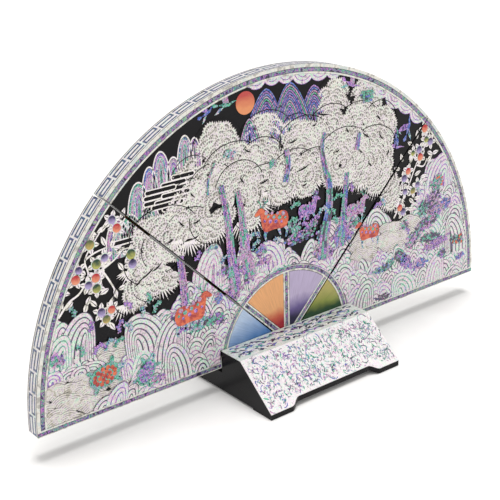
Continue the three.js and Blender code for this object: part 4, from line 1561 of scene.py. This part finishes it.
@dataclass
class Beasts:
    """Deer, turtles and the sprigs that grow among the rocks."""

    deer: tuple[tuple[float, float, float, bool, Kind], ...] = (
(-8, 72, 1.3, True, Kind.RED), (15, 73, 0.9, False, Kind.VIOLET), (50, 65, 1.0, False, Kind.PINK),
        (-62, 37, 1.35, False, Kind.RED), (60, 49, 1.1, True, Kind.RED))
    turtles: tuple[tuple[float, float, float, float, Kind], ...] = (
        (-113, 20, 1.25, 15, Kind.RED), (-90, 14, 1.05, 60, Kind.VIOLET))
    sprigs: tuple[tuple[float, float, float, int], ...] = (
        (-124, 34, 60, 7), (-117, 33, 90, 8), (-111, 33, 100, 8), (-106, 33, 80, 6), (-103, 40, 120, 6),
        (-97, 38, 70, 7), (-126, 55, 80, 5), (-119, 45, 40, 5), (-90, 44, 60, 5), (-83, 44, 100, 6),
        (-58, 64, 20, 5), (-42, 58, 80, 6), (6, 60, 100, 6), (14, 61, 60, 7), (-4, 60, 120, 5),
        (36, 60, 90, 5),
        (-70, 28, 60, 6), (-62, 28, 100, 6), (-52, 27, 80, 6), (92, 40, 90, 5), (100, 62, 80, 5),
        (2, 66, 100, 8), (9, 68, 70, 8), (-18, 66, 110, 7), (-15, 72, 80, 6), (18, 63, 110, 8),
        (23, 68, 80, 8),
        (34, 66, 100, 7), (47, 76, 80, 5), (56, 62, 90, 7), (4, 76, 60, 6), (20, 76, 120, 6),
        (-22, 60, 90, 6),
        (34, 74, 60, 6), (64, 62, 60, 6), (72, 62, 90, 5), (-86, 50, 60, 5), (-96, 50, 100, 5),
        (-50, 66, 60, 6))

    def build(self, picture: Picture) -> None:
        """Lays the beasts and sprigs.

        Args:
            picture: What they are laid in.
        """
        for x, z, size, flip, kind in self.deer:
            self.one_deer(picture, x, z, size, flip, kind)
        for x, z, size, angle, kind in self.turtles:
            self.turtle(picture, x, z, size, angle, kind)
        for i, (x, z, angle, beads) in enumerate(self.sprigs):
            kind = (Kind.GREEN, Kind.VIOLET, Kind.ABALONE)[i % 3]
            self.sprig(picture, x, z, angle, beads, kind)

    @staticmethod
    def one_deer(picture: Picture, x: float, z: float, size: float, flip: bool, kind: Kind) -> None:
        """Lays a resting deer: body, neck and head, legs, antlers and spots.

        Args:
            picture: What it is laid in.
            x: Its middle.
            z: Its middle.
            size: Its scale.
            flip: Whether it faces left.
            kind: Its shell.
        """
        body = [(-7.4, -0.6), (-6.6, 2.4), (-3.8, 3.6), (-0.6, 2.8), (2.2, 3.2), (4.4, 5.0), (5.8, 6.6),
                (7.4, 6.6), (9.6, 4.6), (9.0, 3.8), (7.2, 4.0), (6.6, 1.8), (6.0, -1.4), (4.4, -3.6),
                (0, -3.4), (-3.4, -3.8), (-6.2, -3.4)]
        legs = [[(-6, -3), (-7.4, -5), (-6.4, -8), (-5.6, -8), (-6.0, -5), (-4.4, -3.6)],
                [(3.0, -3), (4.2, -5.4), (3.4, -8), (4.3, -8), (5.4, -5), (4.8, -2.4)],
                [(-3, -3.6), (-3.6, -6.6), (-2.8, -6.6), (-1.6, -3.8)]]
        antlers = [[(5.8, 6.4), (4.6, 8.2), (5.0, 10.4)], [(6.6, 6.6), (6.8, 8.6), (8.2, 10.2)],
                   [(4.8, 8.0), (3.4, 8.8), (2.8, 9.8)]]
        picture.lay(kind, turned(smooth([*body, body[0]], 3), x, z, size, 0, flip), Tilt(0.82))
        for leg in legs:
            picture.lay(Kind.ABALONE, turned(leg, x, z, size, 0, flip), Tilt(0.8))
        for antler in antlers:
            picture.line(Kind.GREEN, turned(smooth(antler, 3), x, z, size, 0, flip), 0.55 * size,
                         Tilt(0.82), 0.5)
        for i in range(12):
            sx, sz = -5.6 + 0.95 * i, 0.2 + 2.0 * math.sin(i * 2.1) + 0.24 * i
            patch = arc(sx, sz, 0.6 + 0.45 * math.sin(i * 1.7) ** 2, 0, 300, 5)
            picture.lay((Kind.GREEN, Kind.PINK, Kind.VIOLET)[i % 3], turned(patch, x, z, size, 0, flip),
                        Tilt(0.87))

    @staticmethod
    def turtle(picture: Picture, x: float, z: float, size: float, angle: float, kind: Kind) -> None:
        """Lays a turtle: plated shell, skirt, head and flippers.

        Args:
            picture: What it is laid in.
            x: Its middle.
            z: Its middle.
            size: Its scale.
            angle: Its turn in degrees.
            kind: The shell of its plates.
        """
        skirt = [(7.0 * math.cos(a), 4.6 * math.sin(a)) for a in (math.tau * i / 24 for i in range(24))]
        picture.lay(Kind.GREEN, turned(skirt, x, z, size, angle), Tilt(0.74))
        for row, count in ((0, 1), (1, 6), (2, 12)):
            for i in range(count):
                turn = math.tau * i / count
                px, pz = 2.3 * row * math.cos(turn), 1.5 * row * math.sin(turn)
                plate = arc(px, pz, 0.98, 0, 300, 5)
                picture.lay(kind, turned(plate, x, z, size, angle), Tilt(0.82))
        head = [(6.4, -1.2), (8.6, -1.4), (10.2, 0), (8.6, 1.4), (6.4, 1.2)]
        picture.lay(Kind.ABALONE, turned(head, x, z, size, angle), Tilt(0.76))
        for px, pz, lean in ((4.4, 3.6, 60), (4.4, -3.6, -60), (-4.6, 3.2, 130), (-4.6, -3.2, -130)):
            flipper = turned([(0, -0.9), (2.2, -0.8), (3.1, 0.2), (1.9, 0.9), (0, 0.9)], px, pz, 1, lean)
            picture.lay(Kind.GREEN, turned(flipper, x, z, size, angle), Tilt(0.75))

    @staticmethod
    def sprig(picture: Picture, x: float, z: float, angle: float, beads: int, kind: Kind) -> None:
        """Lays a curling sprig of round beads.

        Args:
            picture: What it is laid in.
            x: Its root.
            z: Its root.
            angle: The way it starts, in degrees.
            beads: How many beads it has.
            kind: Its shell.
        """
        px, pz, heading = x, z, angle
        for i in range(beads):
            radius = 0.62 + 0.16 * (i % 3)
            picture.lay(kind, arc(px, pz, radius, 0, 324, 9), Tilt(0.8 + 0.004 * (i % 4)))
            offset = math.radians(heading + 80 * (-1) ** i)
            picture.lay(kind,
                        arc(px + 1.1 * math.cos(offset), pz + 1.1 * math.sin(offset), 0.45, 0, 315, 7),
                        Tilt(0.79))
            px += 1.25 * math.cos(math.radians(heading))
            pz += 1.25 * math.sin(math.radians(heading))
            heading += 24 if beads % 2 else -24


@dataclass
class Rim:
    """The shell round the fan's outer edge: a key fret between two thin lines."""

    units_each_quarter: int = 11
    bar: float = 1.05
    half_height: float = 3.1
    lift: float = 0.02

    def build(self) -> None:
        """Lays the fret and its lines on each leaf's edge."""
        fret, line = FINISHES[Kind.FRET].make(), FINISHES[Kind.BLACK].make()
        unit = FAN_RADIUS * math.pi / 4 / self.units_each_quarter
        spans = {Leaf.RIGHT: (0, 1), Leaf.CENTRE: (1, 3), Leaf.LEFT: (3, 4)}
        for leaf, (first, last) in spans.items():
            key = Marquetry(f"{leaf.value}_rim_fret", leaf.value, RimGround(), 0.09)
            for i in range(first * self.units_each_quarter, last * self.units_each_quarter):
                self.hook(key, i * unit + 0.5, unit - 1.0)
            key.build(fret, "abalone_stripe")
            edge = Marquetry(f"{leaf.value}_rim_lines", leaf.value, RimGround(), 0.07)
            start = first * unit * self.units_each_quarter + (0.45 if first else 0.3)
            end = last * unit * self.units_each_quarter - (0.45 if last < 4 else 0.3)
            for z in (RIM_FRONT + 0.55, RIM_BACK - 0.55):
                self.run(edge, start, end, z - 0.2, z + 0.2)
            edge.build(line, "lacquered_wood")

    def hook(self, sheet: Marquetry, start: float, length: float) -> None:
        """Lays one S-shaped hook of the fret.

        Args:
            sheet: What it is laid in.
            start: Where it begins along the arc.
            length: Its length.
        """
        high, half, end = self.half_height, self.bar / 2, start + length
        self.run(sheet, start, end, high - self.bar, high)
        self.run(sheet, start + self.bar, end - self.bar, -half, half)
        self.run(sheet, start, end, -high, self.bar - high)
        self.run(sheet, start, start + self.bar, -half, high - self.bar)
        self.run(sheet, end - self.bar, end, self.bar - high, half)

    def run(self, sheet: Marquetry, x0: float, x1: float, z0: float, z1: float) -> None:
        """Lays a straight bar along the rim in short pieces that follow its curve.

        Args:
            sheet: What it is laid in.
            x0: Its start along the arc.
            x1: Its end.
            z0: Its lower edge across the rim.
            z1: Its upper edge.
        """
        pieces = max(1, round((x1 - x0) / 2.6))
        for i in range(pieces):
            a, b = x0 + (x1 - x0) * i / pieces, x0 + (x1 - x0) * (i + 1) / pieces
            sheet.lay([(a, z0), (b, z0), (b, z1), (a, z1)], Tilt(self.lift))


@dataclass
class Back:
    """The fan's back: a white shell line just inside its edge."""

    inset: float = 3.0
    width: float = 0.8

    def build(self) -> None:
        """Lays the line in short pieces on each leaf's back."""
        ground = FlatGround(Vector((0, RIM_BACK * MM, HUB_HEIGHT * MM)), Vector((1, 0, 0)),
                            Vector((0, 0, 1)),
                            Vector((0, 1, 0)))
        shell = FINISHES[Kind.WHITE].make()
        spans = {Leaf.RIGHT: (1.2, 44.4), Leaf.CENTRE: (45.6, 134.4), Leaf.LEFT: (135.6, 178.8)}
        for leaf, (start, end) in spans.items():
            sheet = Marquetry(f"{leaf.value}_back_line", leaf.value, ground, 0.08)
            reach = FAN_RADIUS - self.inset
            steps = round((end - start) / 1.5)
            outer = arc(0, 0, reach, start, end, steps)
            inner = arc(0, 0, reach - self.width, start, end, steps)
            for i in range(steps):
                sheet.lay([outer[i], inner[i], inner[i + 1], outer[i + 1]], Tilt(0.09))
            sheet.build(shell, "white_shell")


# ---- hardware ----------------------------------------------------------------------------------
@dataclass
class Hardware:
    """Brass hinges and screws: the part's own shapes with softened edges, and slotted screw heads."""

    plate_edge: float = 0.14
    slot_width: float = 0.45
    slot_depth: float = 0.25

    def build(self) -> None:
        """Replaces plain plates, pins and screw heads by finished ones."""
        brass = SatinBrass("satin_brass").make()
        for name in sorted(frame["nodes"]):
            if name.endswith("_plate") or name.endswith("_pin"):
                self.soften(name, brass)
            elif "_screw_" in name:
                self.screw(name, brass)

    def soften(self, name: str, brass: Material) -> None:
        """Copies a plate or pin, rounds its edges and lets it stand for the plain one.

        Args:
            name: The part's node.
            brass: Its material.
        """
        source = frame["nodes"][name]
        made = bpy.data.objects.new(f"{name}_finished", source.data.copy())
        bpy.context.scene.collection.objects.link(made)
        only(made)
        bpy.ops.object.mode_set(mode="EDIT")
        bpy.ops.mesh.select_all(action="SELECT")
        bpy.ops.mesh.remove_doubles(threshold=0.001 * MM)
        bpy.ops.object.mode_set(mode="OBJECT")
        apply_modifier(made, "BEVEL", width=self.plate_edge * MM, segments=2, limit_method="ANGLE",
                       angle_limit=math.radians(40))
        bpy.ops.object.shade_smooth_by_angle(angle=math.radians(35))
        made.data.materials.clear()
        made.data.materials.append(brass)
        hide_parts(name)
        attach(made, source["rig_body"])
        LOG.info("%s", made.name)

    def screw(self, name: str, brass: Material) -> None:
        """Models a domed screw head with a slot.

        Args:
            name: The part's node that it stands for.
            brass: Its material.
        """
        low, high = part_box(name)
        middle = (low + high) / 2
        radius, height = (high.x - low.x) / 2, high.y - low.y
        bpy.ops.object.select_all(action="DESELECT")
        bpy.ops.mesh.primitive_cylinder_add(vertices=32, radius=radius, depth=height, location=middle,
                                            rotation=(math.radians(90), 0, 0))
        head = bpy.context.object
        bpy.ops.object.transform_apply(location=True, rotation=True, scale=True)
        apply_modifier(head, "BEVEL", width=height * 0.55, segments=3, limit_method="ANGLE",
                       angle_limit=math.radians(60))
        bpy.ops.object.select_all(action="DESELECT")
        turn = (sum(map(ord, name)) % 12) * math.radians(15)
        bpy.ops.mesh.primitive_cube_add(size=1, location=(middle.x, high.y, middle.z),
                                        rotation=(0, turn, 0))
        cutter = bpy.context.object
        cutter.scale = (radius * 3, self.slot_depth * 2 * MM, self.slot_width * MM)
        apply_modifier(head, "BOOLEAN", object=cutter, operation="DIFFERENCE", solver="EXACT")
        bpy.data.objects.remove(cutter)
        only(head)
        bpy.ops.object.shade_smooth_by_angle(angle=math.radians(35))
        head.name = f"{name}_finished"
        head.data.materials.clear()
        head.data.materials.append(brass)
        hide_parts(name)
        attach(head, frame["nodes"][name]["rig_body"])
        LOG.info("%s", head.name)


@dataclass
class Stand:
    """The stand's shell: flakes and scrolls on the slope, leaf scrolls on the lip's top."""

    edge_height: float = 3.25
    flakes: int = 1250
    curls: int = 330
    strokes: int = 190
    chance: random.Random = field(default_factory=lambda: random.Random(21))

    def build(self) -> None:
        """Lays the stand's two panels."""
        low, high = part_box("stand_front_shell")
        bend_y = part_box("stand_top_shell")[0].y
        foot = Vector((0, low.y, self.edge_height * MM))
        bend = Vector((0, bend_y, high.z))
        slope = (bend - foot).normalized()
        out = Vector((0, -slope.z, slope.y))
        width = high.x / MM
        self.front(FlatGround(foot, Vector((1, 0, 0)), slope, out), width, (bend - foot).length / MM)
        self.top(FlatGround(bend, Vector((1, 0, 0)), Vector((0, 1, 0)), Vector((0, 0, 1))), width,
                 (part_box("stand_top_shell")[1].y - bend_y) / MM)

    def front(self, ground: FlatGround, width: float, height: float) -> None:
        """Scatters coloured flakes and fine curls over the slope.

        Args:
            ground: The slope, from its foot up.
            width: Half its width.
            height: Its height along the slope.
        """
        kinds = (Kind.ROCK, Kind.PINK, Kind.GREEN, Kind.PINK, Kind.ROCK, Kind.WHITE, Kind.GREEN)
        sheets = {kind: Marquetry(f"stand_front_{kind.value}", "stand", ground, 0.05) for kind in
                  (*kinds, Kind.DARK, Kind.VIOLET, Kind.BLUE, Kind.ABALONE)}
        for i in range(self.flakes):
            x, z = self.spot(width, height)
            size = self.chance.uniform(0.4, 1.3)
            corners = [(size * self.chance.uniform(0.6, 1.5) * math.cos(math.tau * k / 6),
                        size * self.chance.uniform(0.15, 0.5) * math.sin(math.tau * k / 6))
                        for k in range(6)]
            tilt = Tilt(0.05 + 0.003 * (i % 5))
            sheets[kinds[i % 7]].lay(turned(corners, x, z, 1, self.chance.uniform(20, 160)), tilt)
        for i in range(self.curls):
            x, z = self.spot(width, height)
            radius, start = self.chance.uniform(0.9, 3.2), self.chance.uniform(0, 360)
            sweep = self.chance.uniform(40, 120)
            thick = self.chance.uniform(0.25, 0.5)
            outer = arc(x, z, radius, start, start + sweep, 8)
            inner = arc(x, z, radius - thick, start, start + sweep, 8)
            left, right = x < -0.25 * width, x > 0.3 * width
            scroll = (Kind.VIOLET, Kind.DARK, Kind.PINK, Kind.BLUE) if left else (
                (Kind.PINK, Kind.DARK, Kind.GREEN, Kind.ABALONE) if right else
                (Kind.GREEN, Kind.BLUE, Kind.ABALONE, Kind.DARK))
            sheet = sheets[scroll[i % 4]]
            for k in range(8):
                sheet.lay([outer[k], outer[k + 1], inner[k + 1], inner[k]], Tilt(0.075))
        for kind, sheet in sheets.items():
            sheet.build(FINISHES[kind].make(), SLOTS.get(kind, "abalone_stripe"))

    def spot(self, width: float, height: float) -> Point:
        """A place on the slope, clear of its edges and of the arch between the feet.

        Args:
            width: Half the slope's width.
            height: The slope's height.

        Returns:
            The place.
        """
        x = self.chance.uniform(-width + 1.8, width - 1.8)
        floor = 5.2 if abs(x) < 33 else 1.8
        return x, self.chance.uniform(floor, height - 1.6)

    def top(self, ground: FlatGround, width: float, depth: float) -> None:
        """Lays overlapping comma-shaped leaves along the lip's top.

        Args:
            ground: The lip's top, from its front edge back.
            width: Half its width.
            depth: Its depth.
        """
        kinds = (Kind.DARK, Kind.GREEN, Kind.DARK, Kind.WHITE, Kind.BLUE, Kind.DARK, Kind.VIOLET,
                 Kind.WHITE)
        sheets = {kind: Marquetry(f"stand_top_{kind.value}", "stand", ground, 0.05) for kind in kinds}
        for i in range(self.strokes):
            x = -width + 3.5 + (2 * width - 7) * (i + 0.5) / self.strokes
            z = depth * (0.5 + 0.3 * math.sin(i * 1.9)) + self.chance.uniform(-1, 1)
            length, turn = self.chance.uniform(3.5, 6.5), self.chance.uniform(-35,
                                                                              35) + (180 if i % 2 else 0)
            edges = [[(length * (t / 7 - 0.5),
                       1.1 * math.sin(math.pi * (t / 7) ** 0.7) + side * 0.6 * math.sin(
                math.pi * (t / 7) ** 0.6)) for t in range(8)] for side in (1, -1)]
            outer, inner = (turned(edge, x, z, 1, turn) for edge in edges)
            for k in range(7):
                piece = [outer[k], outer[k + 1], inner[k + 1], inner[k]]
                piece = [(px, min(max(pz, 0.8), depth - 0.8)) for px, pz in piece]
                if abs(area(piece)) > 0.01:
                    sheets[kinds[i % 8]].lay(piece, Tilt(0.055 + 0.004 * (i % 6)))
        for kind, sheet in sheets.items():
            sheet.build(FINISHES[kind].make(), SLOTS.get(kind, "abalone_stripe"))


# ---- finishes of the part's own pieces ----------------------------------------------------------
class Dressing:
    """Gives each of the part's own pieces its finish."""

    @staticmethod
    def build() -> None:
        """Assigns the finishes by name."""
        lacquer = RubbedLacquer("black_lacquer").make()
        ground = RubbedLacquer("black_picture_ground", roughness=0.3).make()
        rim = PearlShell("pearl_rim_shell", tones=("#bcb9b2", "#dedad2", "#d2cad2", "#e4e0d8", "#cad4ce"),
                         cloud_mm=7.0, growth_depth=0.15).make()
        front = PearlShell("pearl_stand_front",
                           tones=("#d0c8d0", "#f2eee6", "#f0dcee", "#f6f2ea", "#d8f0e0",
                                                       "#e6e0f0"), cloud_mm=1.6, growth_mm=0.5).make()
        top = PearlShell("pearl_stand_top", tones=("#b4bdb6", "#e6e4dc", "#c8dcd0", "#eae8e0", "#d4cede"),
                         cloud_mm=2.0, growth_mm=0.6).make()
        arc_border = StripedBorder("striped_arc_border", edges_mm=(0.9, 1.1, 2.9, 3.15),
                                   offset_mm=FAN_RADIUS - 4.8).make()
        bottom = StripedBorder("striped_bottom_border", edges_mm=(0.75, 0.95, 2.5, 2.7),
                               direction=(0.0, 1.0)).make()
        hub_arc = StripedBorder("striped_hub_arc", edges_mm=(0.9, 1.05, 2.7, 2.85),
                                offset_mm=HUB_RADIUS - 3.6).make()
        middle = StripedBorder("striped_middle_divider", edges_mm=(0.9, 1.05, 2.6, 2.8),
                               direction=(1.0, 0.0),
                               offset_mm=-1.9).make()
        finishes = {
            "stand_block": lacquer, "stand_front_shell": front, "stand_top_shell": top,
            "middle_hub_divider": middle,
            "purple_hub_panel": DyedFan("dyed_purple_panel", "#1c1538", "#5f4f88", "#b0a2c0",
                                        (14, 19, 26)).make(),
            "orange_hub_panel": DyedFan("dyed_orange_panel", "#9c1626", "#bc5034", "#dc9e66",
                                        (13, 18, 23)).make(),
            "green_hub_panel": DyedFan("dyed_green_panel", "#14401c", "#838c38", "#bca660",
                                       (12, 17, 30)).make(),
            "blue_hub_panel": DyedFan("dyed_blue_panel", "#123c78", "#4a7ab4", "#acbfd8", (10, 17, 30),
                                      (-0.3, 0.95)).make(),
            "sun_disc": RisingDye("dyed_sun_disc", dark="#b43a34", light="#d88856", mottle_mm=6.0).make(),
        }
        for side, name in ((1.0, "right"), (-1.0, "left")):
            finishes[f"{name}_hub_divider"] = StripedBorder(
                f"striped_{name}_divider", edges_mm=(0.75, 0.95, 2.35, 2.55),
                direction=(-side * DIAGONAL, DIAGONAL), offset_mm=0.4).make()
        for name, piece in frame["nodes"].items():
            if name.endswith("leaf_core"):
                finishes[name] = lacquer
            elif name.endswith("picture_panel"):
                finishes[name] = ground
            elif name.endswith("rim_band"):
                finishes[name] = rim
            elif name.endswith("arc_border"):
                finishes[name] = arc_border
            elif name.endswith("bottom_border"):
                finishes[name] = bottom
            elif name.endswith("hub_arc"):
                finishes[name] = hub_arc
            if name in finishes:
                piece.data.materials.clear()
                piece.data.materials.append(finishes[name])


# ---- room --------------------------------------------------------------------------------------
@dataclass
class Room:
    """A plain pale floor, soft light and the camera."""

    azimuth: float = -38.06
    elevation: float = 21.26
    roll: float = -1.57
    distance: float = 581.5
    aside: float = -17.6
    above: float = 61.2
    lens: float = 76.46

    def build(self) -> None:
        """Makes the room."""
        self.floor()
        self.lights()
        self.camera()

    @staticmethod
    def floor() -> None:
        """A wide pale floor with a faint tooth."""
        bpy.ops.object.select_all(action="DESELECT")
        bpy.ops.mesh.primitive_grid_add(x_subdivisions=8, y_subdivisions=8, size=30,
                                        location=(0, 0, -0.0002))
        floor = bpy.context.object
        floor.name = "floor"
        floor.data.materials.append(PaleFloor("pale_paper_floor").make())

    @staticmethod
    def lights() -> None:
        """A broad soft light overhead, a weaker one from the front, and an even white room."""
        world = bpy.data.worlds.new("white_room")
        bpy.context.scene.world = world
        world.use_nodes = True
        background = world.node_tree.nodes["Background"]
        background.inputs["Color"].default_value = (1, 1, 1, 1)
        background.inputs["Strength"].default_value = 0.65
        for name, power, spread, aim in (("ceiling_softlight", 1.9, 28, (-0.05, -0.02, -1)),
                                         ("front_softlight", 0.7, 50, (0.5, 0.9, -0.45))):
            data = bpy.data.lights.new(name, "SUN")
            data.energy, data.angle = power, math.radians(spread)
            light = bpy.data.objects.new(name, data)
            bpy.context.scene.collection.objects.link(light)
            light.rotation_euler = Vector(aim).to_track_quat("-Z", "Y").to_euler()

    def camera(self) -> None:
        """Sets the camera by its direction from the stand, its distance and its lens."""
        az, el, roll = (math.radians(v) for v in (self.azimuth, self.elevation, self.roll))
        back = Vector((math.sin(az) * math.cos(el), -math.cos(az) * math.cos(el), math.sin(el)))
        level = Vector((math.cos(az), math.sin(az), 0))
        upright = back.cross(level)
        right = level * math.cos(roll) + upright * math.sin(roll)
        up = upright * math.cos(roll) - level * math.sin(roll)
        data = bpy.data.cameras.new("camera")
        data.lens, data.sensor_width = self.lens, 36.0
        data.clip_start, data.clip_end = 0.01, 50.0
        camera = bpy.data.objects.new("camera", data)
        bpy.context.scene.collection.objects.link(camera)
        camera.matrix_world = Matrix.Translation(
            (right * self.aside + up * self.above + back * self.distance) * MM) @ Matrix(
                (right, up, back)).transposed().to_4x4()
        bpy.context.scene.camera = camera


def main() -> None:
    """Dresses the part, lays its picture and sets the room."""
    logging.basicConfig(level=logging.INFO, format="%(message)s")
    bpy.context.scene.view_settings.view_transform = "Standard"
    Dressing.build()
    picture = Picture()
    for motif in (Mountains(), Sky(), PineWoods(), Rocks(), Blossom(), Beasts()):
        motif.build(picture)
    picture.build()
    Rim().build()
    Back().build()
    Hardware().build()
    Stand().build()
    Room().build()


if __name__ == "__main__":
    main()
